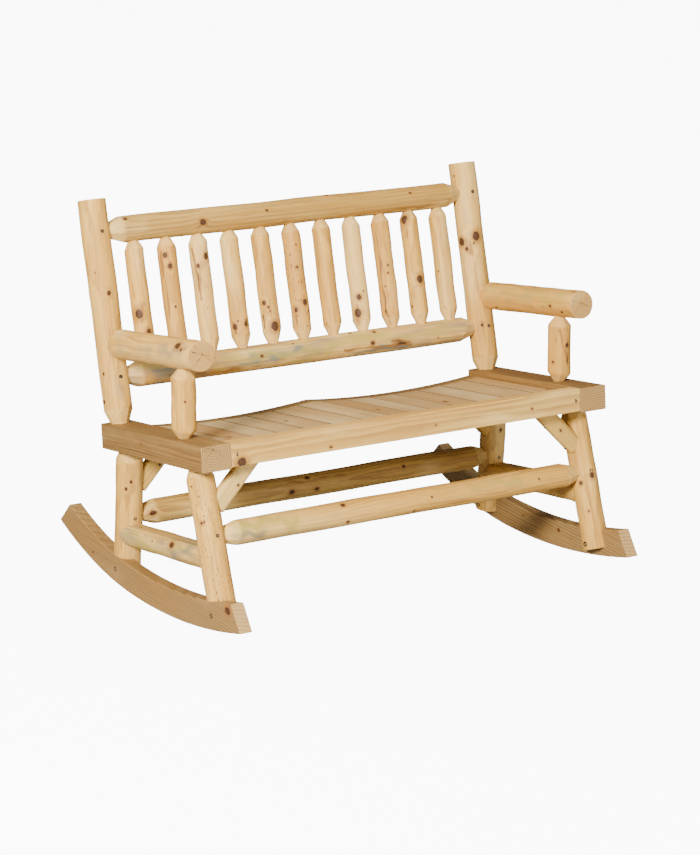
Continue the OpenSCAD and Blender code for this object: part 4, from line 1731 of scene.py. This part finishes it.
@dataclass
class SeatFrame(Part):
    """The side rails, the front rail, the scooped back rail and the ledgers."""

    ridge_drop: float = 15.0
    scoop_depth: float = 13.0
    left_pith: Spot = Spot(213, 450)
    right_pith: Spot = Spot(600, 430)
    left_spots: ClassVar[tuple[Spot, ...]] = (Spot(141, 444, 2.5), Spot(176, 456, 2.0))
    front_spots: ClassVar[tuple[Spot, ...]] = (
        Spot(242, 462, 8.0),
        Spot(331, 447, 2.5),
        Spot(436, 425, 2.0),
        Spot(532, 409, 2.5),
    )

    @classmethod
    def seat_z(cls, x: np.ndarray) -> np.ndarray:
        """Returns the height of the seat's top: an arc r - drop - depth - sqrt(r^2 - (|x| - w / 4)^2) a side.

        Args:
            x: Distance off the bench's middle.

        Returns:
            The height in the seat's frame.
        """
        half = BENCH.clear_w / 4
        radius = (half ** 2 + cls.scoop_depth ** 2) / (2 * cls.scoop_depth)
        return radius - cls.ridge_drop - cls.scoop_depth - np.sqrt(radius ** 2 - (np.abs(x) - half) ** 2)

    def _scooped(self, below: float, height: float) -> Warp:
        """Returns the warp that bends a bar's top to the scoops, and leaves its underside straight.

        Args:
            below: Distance of the bar's top below the seat's top.
            height: The bar's height.

        Returns:
            The warp.
        """

        def bent(a: np.ndarray, b: np.ndarray, s: np.ndarray) -> np.ndarray:
            """Returns the points, each lifted by its share of the height."""
            share = np.clip((b + height / 2) / height, 0, 1)
            return np.stack([a, b + share * (self.seat_z(s) - below), s], axis=-1)

        return bent

    def build(self) -> None:
        """Makes the frame's sawn rails."""
        for side in Side:
            self._side_rail(side)
        t, height = BENCH.end_rail_t, BENCH.front_rail_h
        ways = ((1, 0, 0), (0, 0, 1))
        ends = self._ends()
        place = BENCH.seat.moved(0, BENCH.front_y + t / 2, -height / 2).facing(*ways)
        knots = seen_knots(self.front_spots, place, -t / 2, (-1.0, 0.1, 0.15))
        board = Board(place, t, height, *ends, pith=(60.0, -25.0), knots=knots, seed=75)
        self.add(board.sweep(), Finish.SAWN_PALE, "sawn_pale", "front_rail")
        place = BENCH.seat.moved(0, BENCH.back_y - t / 2, -height / 2).facing(*ways)
        warp = self._scooped(0.0, height)
        board = Board(place, t, height, *ends, pith=(-50.0, -70.0), warp=warp, seed=76)
        self.add(board.sweep(), Finish.SAWN_TAN, "sawn_tan", "back_rail")
        for name, sign, seed in (("front_ledger", -1.0, 77), ("back_ledger", 1.0, 78)):
            self._ledger(name, sign, seed)

    @staticmethod
    def _ends() -> tuple[Cut, Cut]:
        """Returns the cuts that end the rails between the side rails."""
        half = BENCH.clear_w / 2 - BENCH.seat_gap
        return Cut(-half), Cut(half)

    def _side_rail(self, side: Side) -> None:
        """Makes one side rail.

        Args:
            side: Its side of the bench.
        """
        w, h = BENCH.side_rail_w, BENCH.side_rail_h
        place = BENCH.seat.moved(side.value * BENCH.rail_x, 0, -h / 2).facing((0, 1, 0), (0, 0, 1))
        pith = self.left_pith if side is Side.LEFT else self.right_pith
        spots = self.left_spots if side is Side.LEFT else ()
        board = Board(
            place=place,
            width=w,
            height=h,
            start=Cut(BENCH.front_y),
            end=Cut(BENCH.back_y),
            pith=tuple(pith.on_plane(place, 2, BENCH.front_y)[:2]),
            knots=seen_knots(spots, place, w / 2, (1.0, 0.1, 0.1)),
            seed=70 + side.value,
        )
        self.add(board.sweep(), Finish.SAWN_TAN, "sawn_tan", f"side_rail_{side.label}")

    def _ledger(self, name: str, sign: float, seed: int) -> None:
        """Makes one ledger under the planks' ends.

        Args:
            name: Its node.
            sign: -1 at the front, 1 at the back.
            seed: Sets its place in the wood.
        """
        height, width = BENCH.side_rail_h, BENCH.ledger_w
        y = sign * (BENCH.seat_depth / 2 - BENCH.end_rail_t - BENCH.seat_gap - width / 2)
        place = BENCH.seat.moved(0, y, -height / 2).facing((1, 0, 0), (0, 0, 1))
        warp = self._scooped(Planks.thickness + BENCH.seat_gap, height)
        board = Board(place, width, height, *self._ends(), pith=(40.0, 60.0), warp=warp, seed=seed)
        self.add(board.sweep(), Finish.SAWN_PALE, "sawn_tan", name)


@dataclass
class Planks(Part):
    """The seat planks, whose tops follow the two scoops."""

    count: int = 14
    first_w: float = 85.0
    last_w: float = 42.0
    gap: float = 1.6
    shrinkage: float = 0.9
    thickness: float = 19.0
    rounding: float = 1.8
    # Share of painted shade on the narrow sides, standing in for the shadow in the gaps between the planks
    painted_gap_shade: float = 1.0
    knot_every: int = 3
    first_seed: int = 100

    def build(self) -> None:
        """Makes the planks from left to right."""
        left = -BENCH.clear_w / 2 + BENCH.seat_gap
        for i, width in enumerate(self._widths()):
            self._plank(i, left + width / 2, width)
            left += width + self.gap

    def _widths(self) -> list[float]:
        """Returns the planks' widths: the outer two are given, and the others share the rest."""
        gaps = (self.count - 1) * self.gap
        rest = BENCH.clear_w - 2 * BENCH.seat_gap - self.first_w - self.last_w - gaps
        inner = self.count - 2
        return [self.first_w, *[rest / inner] * inner, self.last_w]

    def _plank(self, i: int, middle: float, width: float) -> None:
        """Makes one plank.

        Args:
            i: Its number, from 0.
            middle: Its middle, off the bench's middle.
            width: Its width with the shrinkage.
        """
        half = BENCH.seat_depth / 2 - BENCH.end_rail_t - BENCH.seat_gap
        draw = np.random.default_rng(self.first_seed + i)

        def scooped(a: np.ndarray, b: np.ndarray, s: np.ndarray) -> np.ndarray:
            """Returns the points, lowered so that the plank's top follows the scoops."""
            return np.stack([a, b - self.thickness / 2 + SeatFrame.seat_z(middle - a), s], axis=-1)

        knots = ()
        if i % self.knot_every == 1:
            at = np.array([draw.uniform(-20, 20), 0.0, draw.uniform(-150, 150)])
            knots = (through(at, (0.1, 1.0, 0.1), float(draw.uniform(3, 6))),)
        board = Board(
            place=BENCH.seat.moved(middle, 0, 0).facing((0, 1, 0), (0, 0, 1)),
            width=width - self.shrinkage,
            height=self.thickness,
            start=Cut(-half),
            end=Cut(half),
            round_mm=self.rounding,
            painted_gap_shade=self.painted_gap_shade,
            pith=(float(draw.uniform(-30, 30)), float(draw.uniform(-70, -25))),
            warp=scooped,
            knots=knots,
            seed=self.first_seed + i,
        )
        self.add(board.sweep(), Finish.PLANK, "plank", f"seat_plank_{i + 1:02d}")


@dataclass
class Back(Part):
    """The posts, the two back rails and the spindles."""

    post_l: float = 528.0
    top_d: float = 64.0
    top_z: float = 451.0
    lower_d: float = 63.0
    lower_z: float = 108.0
    spindles: int = 11
    spread_share: float = 0.879
    spindle_d: float = 47.0
    top_taper: float = 20.0
    bottom_taper: float = 27.0
    spindle_tenon: float = 6.0
    spindle_columns: int = 56
    post_spots: ClassVar[dict[Side, tuple[Spot, ...]]] = {
        Side.LEFT: (Spot(88, 294, 4.0), Spot(109, 293, 4.0), Spot(104, 402, 3.5)),
        Side.RIGHT: (Spot(462, 242, 7.0), Spot(476, 236, 8.0), Spot(467, 249, 3.5), Spot(482, 325, 3.0)),
    }
    post_marks: ClassVar[dict[Side, tuple[Mark, ...]]] = {
        Side.LEFT: (Mark(Spot(116, 375, 6.0), Spot(123, 398), BLUE, 0.8),),
        Side.RIGHT: (Mark(Spot(468, 240, 12.0), Spot(473, 256), BARK, 0.42),),
    }
    top_spots: ClassVar[tuple[Spot, ...]] = (Spot(125, 219, 3.5), Spot(203, 222, 6.0), Spot(410, 193, 2.5))
    top_marks: ClassVar[tuple[Mark, ...]] = (
        Mark(Spot(262, 224, 6.0), Spot(440, 204), BARK, 0.42),
        Mark(Spot(240, 217, 3.0), Spot(330, 210), BARK, 0.30),
        Mark(Spot(360, 199, 3.0), Spot(440, 191), BARK, 0.34),
    )
    lower_spots: ClassVar[tuple[Spot, ...]] = (Spot(373, 343, 4.0), Spot(374, 332, 3.0), Spot(262, 356, 3.0))
    lower_marks: ClassVar[tuple[Mark, ...]] = (
        Mark(Spot(130, 376, 20.0), Spot(200, 370), BLUE, 1.5),
        Mark(Spot(190, 368, 9.0), Spot(320, 350), BLUE, 1.2),
        Mark(Spot(290, 364, 7.0), Spot(430, 341), BLUE, 1.0),
        Mark(Spot(135, 380, 5.0), Spot(205, 372), BARK, 0.5),
        Mark(Spot(210, 373, 4.0), Spot(300, 358), BARK, 0.55),
        Mark(Spot(225, 360, 9.0), Spot(330, 350), GREEN, 0.9),
        Mark(Spot(345, 350, 4.0), Spot(412, 344), BARK, 0.6),
        Mark(Spot(392, 339, 6.0), Spot(410, 343), BARK, 0.9),
        Mark(Spot(425, 334, 5.0), Spot(458, 334), BARK, 0.40),
    )
    spindle_spots: ClassVar[dict[int, tuple[Spot, ...]]] = {
        1: (Spot(139, 314, 7.5), Spot(149, 332, 5.5)),
        2: (Spot(165, 255, 4.5), Spot(170, 266, 4.5)),
        3: (Spot(206, 256, 5.5), Spot(198, 266, 3.5)),
        4: (Spot(235, 327, 5.0), Spot(246, 324, 4.0), Spot(238, 321, 2.0)),
        5: (Spot(264, 303, 4.0), Spot(275, 326, 8.0), Spot(270, 311, 2.0)),
        6: (Spot(305, 302, 5.0), Spot(296, 310, 4.0), Spot(309, 311, 3.5)),
        8: (Spot(359, 297, 5.0), Spot(358, 313, 7.0)),
        9: (Spot(388, 265, 2.0), Spot(388, 273, 2.0)),
        10: (Spot(404, 220, 6.5), Spot(420, 279, 6.5)),
    }
    spindle_marks: ClassVar[dict[int, tuple[Mark, ...]]] = {
        1: (Mark(Spot(140, 305, 7.0), Spot(142, 322), BARK, 0.40),),
        2: (
            Mark(Spot(161, 251, 4.0), Spot(164, 277), BARK, 0.95),
            Mark(Spot(165, 280, 2.5), Spot(171, 318), BARK, 0.6),
            Mark(Spot(168, 258, 8.0), Spot(170, 272), BARK, 0.30),
        ),
        3: (
            Mark(Spot(200, 262, 9.0), Spot(205, 288), BARK, 0.50),
            Mark(Spot(192, 248, 2.5), Spot(202, 300), BARK, 0.8),
            Mark(Spot(210, 262, 2.5), Spot(213, 280), BARK, 0.9),
        ),
        4: (Mark(Spot(233, 322, 3.0), Spot(236, 333), BARK, 0.9),),
        5: (Mark(Spot(263, 316, 3.0), Spot(265, 328), BARK, 0.9),),
        6: (
            Mark(Spot(294, 306, 2.5), Spot(297, 322), BARK, 0.8),
            Mark(Spot(296, 243, 8.0), Spot(301, 275), BLUE, 0.6),
        ),
        7: (
            Mark(Spot(327, 324, 3.0), Spot(332, 333)),
            Mark(Spot(316, 250, 2.0), Spot(322, 290), BARK, 0.6),
        ),
        8: (Mark(Spot(356, 305, 5.0), Spot(358, 324), BARK, 0.8),),
        9: (Mark(Spot(375, 224, 3.0), Spot(386, 312)), Mark(Spot(386, 312, 4.5), Spot(392, 323))),
        10: (Mark(Spot(404, 217, 7.0), Spot(407, 236), BARK, 0.45),),
    }
    speckled: ClassVar[tuple[int, ...]] = (6,)

    def build(self) -> None:
        """Makes the back."""
        for side in Side:
            self._post(side)
        place = BENCH.back.moved(0, 0, self.top_z)
        log = cross_log(place, self.half, self.top_d, 210, self.top_spots, self.top_marks, 3.0)
        self.add(log.sweep(), Finish.TAN_LOG, "log", "top_back_rail")
        place = BENCH.back.moved(0, 0, self.lower_z)
        log = cross_log(place, self.half, self.lower_d, 211, self.lower_spots, self.lower_marks, 3.0)
        self.add(log.sweep(), Finish.LOG_STAINED, "log", "lower_back_rail")
        for number in range(1, self.spindles + 1):
            self._spindle(number)

    @property
    def post_x(self) -> float:
        """Middle line of a post."""
        return BENCH.rail_x + BENCH.post_out

    @property
    def half(self) -> float:
        """Half the clear width between the posts."""
        return self.post_x - BENCH.post_d / 2 - BENCH.seat_gap

    def _post(self, side: Side) -> None:
        """Makes one post.

        Args:
            side: Its side of the bench.
        """
        seed = 200 + side.value
        log = Log(
            place=BENCH.back.moved(side.value * self.post_x, 0, 0),
            diameter=BENCH.post_d,
            start=-HIDDEN,
            end=self.post_l,
            start_taper=Taper(BENCH.rail_taper, BENCH.leg_neck),
            spots=self.post_spots[side],
            marks=self.post_marks[side],
            knots=random_knots(seed, 60, 500, 2, 1.5, 2.5),
            seed=seed,
        )
        self.add(log.sweep(), Finish.LOG, "log", f"back_post_{side.label}")

    def _spindle(self, number: int) -> None:
        """Makes one spindle.

        Args:
            number: Its number, from 1 at the left.
        """
        low, high = self.lower_z + self.lower_d / 2, self.top_z - self.top_d / 2
        pitch = self.spread_share * 2 * self.half / (self.spindles - 1)
        bottom = Taper(self.bottom_taper, BENCH.spindle_neck, self.spindle_tenon)
        top = Taper(self.top_taper, BENCH.spindle_neck, self.spindle_tenon)
        log = Log(
            place=BENCH.back.moved((number - (self.spindles + 1) / 2) * pitch, 0, 0),
            diameter=self.spindle_d,
            start=low - bottom.hidden,
            end=high + top.hidden,
            start_taper=bottom,
            end_taper=top,
            columns=self.spindle_columns,
            spots=self.spindle_spots.get(number, ()),
            marks=self.spindle_marks.get(number, ()),
            knots=random_knots(220 + number, low + 40, high - 40, 2, 1.2, 2.5),
            seed=220 + number,
        )
        finish = Finish.LOG_SPECKLED if number in self.speckled else Finish.LOG
        self.add(log.sweep(), finish, "log", f"spindle_{number:02d}")


@dataclass
class Arms(Part):
    """The armrests and their supports."""

    arm_d: float = 71.0
    arm_z: float = 197.0
    arm_rise: float = 1.2
    arm_setback: float = 38.0
    arm_out: float = 3.0
    arm_taper: float = 25.0
    support_d: float = 58.0
    support_setback: float = 138.0
    support_lean: float = 4.7
    support_taper: float = 21.0
    arm_tenon: float = 11.0
    support_tenon: float = 6.0
    support_columns: int = 64
    arm_spots: ClassVar[dict[Side, tuple[Spot, ...]]] = {
        Side.LEFT: (Spot(178, 346, 6.5), Spot(181, 350, 3.0)),
        Side.RIGHT: (Spot(550, 306, 3.0), Spot(562, 312, 3.0), Spot(579, 293, 4.0)),
    }
    arm_marks: ClassVar[dict[Side, tuple[Mark, ...]]] = {
        Side.LEFT: (
            Mark(Spot(120, 340, 16.0), Spot(180, 352), BLUE, 0.7),
            Mark(Spot(178, 344, 7.0), Spot(184, 352), BARK, 0.45),
        ),
        Side.RIGHT: (
            Mark(Spot(485, 290, 16.0), Spot(560, 300), GREEN, 0.6),
            Mark(Spot(485, 296, 9.0), Spot(530, 299), BLUE, 0.6),
            Mark(Spot(572, 291, 5.0), Spot(580, 293), BARK, 0.6),
            Mark(Spot(530, 307, 5.0), Spot(580, 314), BARK, 0.34),
        ),
    }
    support_spots: ClassVar[dict[Side, tuple[Spot, ...]]] = {
        Side.LEFT: (Spot(185, 402, 2.0),),
        Side.RIGHT: (Spot(567, 345, 4.0),),
    }
    support_marks: ClassVar[dict[Side, tuple[Mark, ...]]] = {
        Side.RIGHT: (
            Mark(Spot(560, 330, 4.0), Spot(567, 362), BARK, 0.60),
            Mark(Spot(567, 325, 7.0), Spot(569, 365), BARK, 0.36),
            Mark(Spot(556, 338, 3.0), Spot(559, 362), BARK, 0.45),
        ),
    }

    def build(self) -> None:
        """Makes the arms."""
        for side in Side:
            self._arm(side)
            self._support(side)

    def _arm(self, side: Side) -> None:
        """Makes one armrest, from its free front end to its tenon in the post.

        Args:
            side: Its side of the bench.
        """
        front = BENCH.front_y + self.arm_setback
        lean = math.radians(BENCH.back_lean)
        reach = BENCH.back_y - BENCH.post_inset - front
        span = reach * math.cos(lean) + self.arm_z * math.sin(lean)
        length = (span - BENCH.post_d / 2) / math.cos(lean - math.radians(self.arm_rise))
        neck = Taper(self.arm_taper, BENCH.rail_neck, self.arm_tenon)
        x = side.value * (BENCH.rail_x + self.arm_out)
        place = BENCH.seat.moved(x, front, self.arm_z).leaned(-self.arm_rise)
        log = Log(
            place=place.facing((0, 1, 0), (0, 0, 1)),
            diameter=self.arm_d,
            start=0.0,
            end=length + neck.hidden,
            end_taper=neck,
            spots=self.arm_spots[side],
            marks=self.arm_marks[side],
            knots=random_knots(300 + side.value, 60, length - 60, 2, 1.5, 3.0),
            seed=300 + side.value,
        )
        self.add(log.sweep(), Finish.LOG, "log", f"armrest_{side.label}")

    def _support(self, side: Side) -> None:
        """Makes one arm support, between the side rail and the armrest.

        Args:
            side: Its side of the bench.
        """
        rise = (self.support_setback - self.arm_setback) * math.tan(math.radians(self.arm_rise))
        length = (self.arm_z - self.arm_d / 2 - rise) / math.cos(math.radians(self.support_lean))
        x = side.value * (BENCH.rail_x + self.arm_out / 2)
        taper = Taper(self.support_taper, BENCH.spindle_neck, self.support_tenon)
        upper = Taper(self.support_taper, BENCH.spindle_neck)
        place = BENCH.seat.moved(x, BENCH.front_y + self.support_setback, 0)
        log = Log(
            place=place.leaned(self.support_lean),
            diameter=self.support_d,
            start=-taper.hidden,
            end=length + upper.hidden,
            start_taper=taper,
            end_taper=upper,
            columns=self.support_columns,
            spots=self.support_spots[side],
            marks=self.support_marks.get(side, ()),
            knots=random_knots(310 + side.value, 40, length - 40, 1, 1.5, 3.0),
            seed=310 + side.value,
        )
        self.add(log.sweep(), Finish.LOG, "log", f"arm_support_{side.label}")


class Recess(Enum):
    """The shape of the drive sunk in a fastener's head."""

    CROSS = "cross"
    HEX = "hex"

    def depth(self, x: np.ndarray, y: np.ndarray) -> np.ndarray:
        """Returns 1 inside the recess and 0 outside it, over a head of radius 1, with soft walls.

        Args:
            x: Places across the head.
            y: Places across the head, square to x.

        Returns:
            The depth's share at each place.
        """
        if self is Recess.HEX:
            turns = np.radians([0.0, 60.0, 120.0])[:, None, None]
            across = np.abs(x * np.cos(turns) + y * np.sin(turns)).max(axis=0)
            return np.clip((0.50 - across) / 0.05, 0, 1)
        arms = [np.clip((0.13 - np.abs(u)) / 0.05, 0, 1) * np.clip((0.62 - np.abs(v)) / 0.1, 0, 1)
                for u, v in ((x, y), (y, x))]
        return np.maximum(*arms)


@dataclass(frozen=True)
class Fastener:
    """A headed fastener, measured from one solid of the solid model.

    Its frame stands at the head's top with Z down the shank; lengths are in millimetres.
    """

    place: Place
    length: float
    head_r: float
    head_h: float
    shank_r: float

    @staticmethod
    def measured(points: np.ndarray) -> "Fastener":
        """Returns the fastener that a solid's points describe: its axis is their longest direction.

        Args:
            points: The solid's points, in millimetres.

        Returns:
            The fastener.
        """
        middle = points.mean(axis=0)
        axis = np.linalg.svd(points - middle, full_matrices=False)[2][0]
        along = (points - middle) @ axis
        off = points - middle - along[:, None] * axis
        centre = middle + (off.max(axis=0) + off.min(axis=0)) / 2
        radius = np.linalg.norm(points - centre - ((points - centre) @ axis)[:, None] * axis, axis=1)
        wide = radius > 0.95 * radius.max()
        if along[wide].mean() > (along.max() + along.min()) / 2:
            axis, along = -axis, -along
        top = along.min()
        origin = centre + axis * (top - LIFT - (centre - middle) @ axis)
        side = np.cross(axis, (0.0, 0.0, 1.0) if abs(axis[2]) < 0.9 else (1.0, 0.0, 0.0))
        side /= np.linalg.norm(side)
        place = Place(origin, np.stack([side, np.cross(axis, side), axis], axis=1))
        head_h = float(along[wide].max() - top)
        shank = radius[along > top + head_h + 0.1]
        return Fastener(place, float(along.max() - top), float(radius.max()), head_h, float(shank.max()))

    def grid(self, recess: Recess, columns: int = 48) -> np.ndarray:
        """Returns the fastener's surface: rows of points (r cos phi, r sin phi, z) from head to tip.

        Args:
            recess: The shape sunk in the head.
            columns: Number of points round it.

        Returns:
            The points, shaped (rows, columns, 3).
        """
        phi = np.linspace(0, 2 * math.pi, columns, endpoint=False)[None, :]
        share = np.r_[np.linspace(0.04, 0.94, 17), 0.98, 1.0]
        flat = share.size - 2
        z = np.r_[0.12 * share[:flat] ** 4 * self.head_h, 0.16 * self.head_h, 0.28 * self.head_h]
        rows = np.stack([share * self.head_r, z], axis=1)
        under = [
            (self.head_r, 0.8 * self.head_h),
            (self.head_r * 0.96, self.head_h),
            (self.shank_r, self.head_h),
            (self.shank_r, self.length - self.shank_r),
            (self.shank_r * 0.3, self.length),
        ]
        rows = np.concatenate([rows, np.array(under)])
        r, z = rows[:, :1] + 0 * phi, rows[:, 1:] + 0 * phi
        sunk = recess.depth(r[:flat] / self.head_r * np.cos(phi), r[:flat] / self.head_r * np.sin(phi))
        z[:flat] += sunk * self.head_h * 0.6
        return self.place.points(np.stack([r * np.cos(phi), r * np.sin(phi), z], axis=-1))


@dataclass
class Fasteners(Part):
    """Bolts, nuts and screws with real heads, at the places of the solid model's groups."""

    groups: ClassVar[tuple[tuple[str, Recess], ...]] = (
        ("rocker_bolts", Recess.HEX),
        ("rocker_nuts", Recess.HEX),
        ("tenon_screws", Recess.CROSS),
        ("toe_screws", Recess.CROSS),
        ("brace_screws", Recess.CROSS),
        ("arm_screws", Recess.CROSS),
        ("plank_screws", Recess.CROSS),
    )

    @staticmethod
    def solids(name: str) -> list[np.ndarray]:
        """Returns the points of each separate solid of a group node.

        Each point carries the least number among its neighbours until nothing changes, so that all
        points of one solid end with the same number.

        Args:
            name: The node.

        Returns:
            The points of each solid, in millimetres.
        """
        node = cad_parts[name]
        mesh = node.data
        co = np.empty(len(mesh.vertices) * 3)
        mesh.vertices.foreach_get("co", co)
        turn = np.array(node.matrix_world)
        points = (co.reshape(-1, 3) @ turn[:3, :3].T + turn[:3, 3]) / MM
        unique, where = np.unique(points.round(3), axis=0, return_inverse=True)
        edges = np.empty(len(mesh.edges) * 2, dtype=np.int32)
        mesh.edges.foreach_get("vertices", edges)
        edges = where.ravel()[edges].reshape(-1, 2)
        label = np.arange(len(unique))
        while True:
            least = np.minimum(label[edges[:, 0]], label[edges[:, 1]])
            after = label.copy()
            np.minimum.at(after, edges[:, 0], least)
            np.minimum.at(after, edges[:, 1], least)
            if np.array_equal(after, label):
                return [unique[label == value] for value in np.unique(label)]
            label = after

    def build(self) -> None:
        """Makes one object for each group."""
        for name, recess in self.groups:
            grids = np.stack([Fastener.measured(points).grid(recess) for points in self.solids(name)])
            blank = np.zeros(grids.shape)
            piece = _grid_object(f"{name}_looks", grids, blank, blank, blank)
            LOG.info("%s: %d fasteners", name, len(grids))
            self.pieces.append((piece, Finish.STEEL, "steel", (name,)))


# Studio


@dataclass(frozen=True)
class Lamp:
    """A square area light that looks at the bench; lengths are in metres and the power in watts."""

    name: str
    at: tuple[float, float, float]
    size: float
    power: float
    colour: Colour = (1.0, 1.0, 1.0)

    def build(self, target: tuple[float, float, float] = (0.0, 0.0, 0.45)) -> bpy.types.Object:
        """Makes the light.

        Args:
            target: The point that it looks at, in metres.

        Returns:
            The light, whose -Z points to the target.
        """
        data = bpy.data.lights.new(self.name, "AREA")
        data.size, data.energy, data.color = self.size, self.power, self.colour
        lamp = bpy.data.objects.new(self.name, data)
        back = np.array(self.at) - np.array(target)
        z = back / np.linalg.norm(back)
        x = np.cross((0.0, 0.0, 1.0), z)
        x /= np.linalg.norm(x)
        matrix = np.eye(4)
        matrix[:3, :3], matrix[:3, 3] = np.stack([x, np.cross(z, x), z], axis=1), self.at
        lamp.matrix_world = Matrix(matrix.tolist())
        bpy.context.scene.collection.objects.link(lamp)
        return lamp


@dataclass
class Studio:
    """Floor, lights and camera."""

    lamps: ClassVar[tuple[Lamp, ...]] = (
        Lamp("key", (-3.8, -2.5, 2.7), 1.0, 690.0, (1.0, 0.97, 0.92)),
        Lamp("fill", (1.6, -4.2, 1.1), 2.2, 120.0),
        Lamp("top", (-0.4, 0.2, 4.2), 3.0, 125.0),
    )
    floor_size: float = 40.0
    sky: float = 0.12

    def build(self) -> None:
        """Makes the studio."""
        PHOTO.build()
        for lamp in self.lamps:
            lamp.build()
        world = bpy.data.worlds.new("studio")
        world.use_nodes = True
        background = world.node_tree.nodes["Background"]
        background.inputs["Color"].default_value = (1.0, 1.0, 1.0, 1.0)
        background.inputs["Strength"].default_value = self.sky
        bpy.context.scene.world = world
        h = self.floor_size / 2
        mesh = bpy.data.meshes.new("floor")
        mesh.from_pydata([(-h, -h, 0), (h, -h, 0), (h, h, 0), (-h, h, 0)], [], [(0, 1, 2, 3)])
        floor = bpy.data.objects.new("floor", mesh)
        bpy.context.scene.collection.objects.link(floor)
        mesh.materials.append(Backdrop("studio_floor").material())
        LOG.info("studio: %d lamps", len(self.lamps))


def main() -> None:
    """Builds and dresses the whole scene."""
    for kind in (Rockers, Legs, Stretchers, Braces, SeatFrame, Planks, Back, Arms, Fasteners):
        part = kind()
        part.build()
        part.dress()
    Studio().build()


if __name__ == "__main__":
    main()
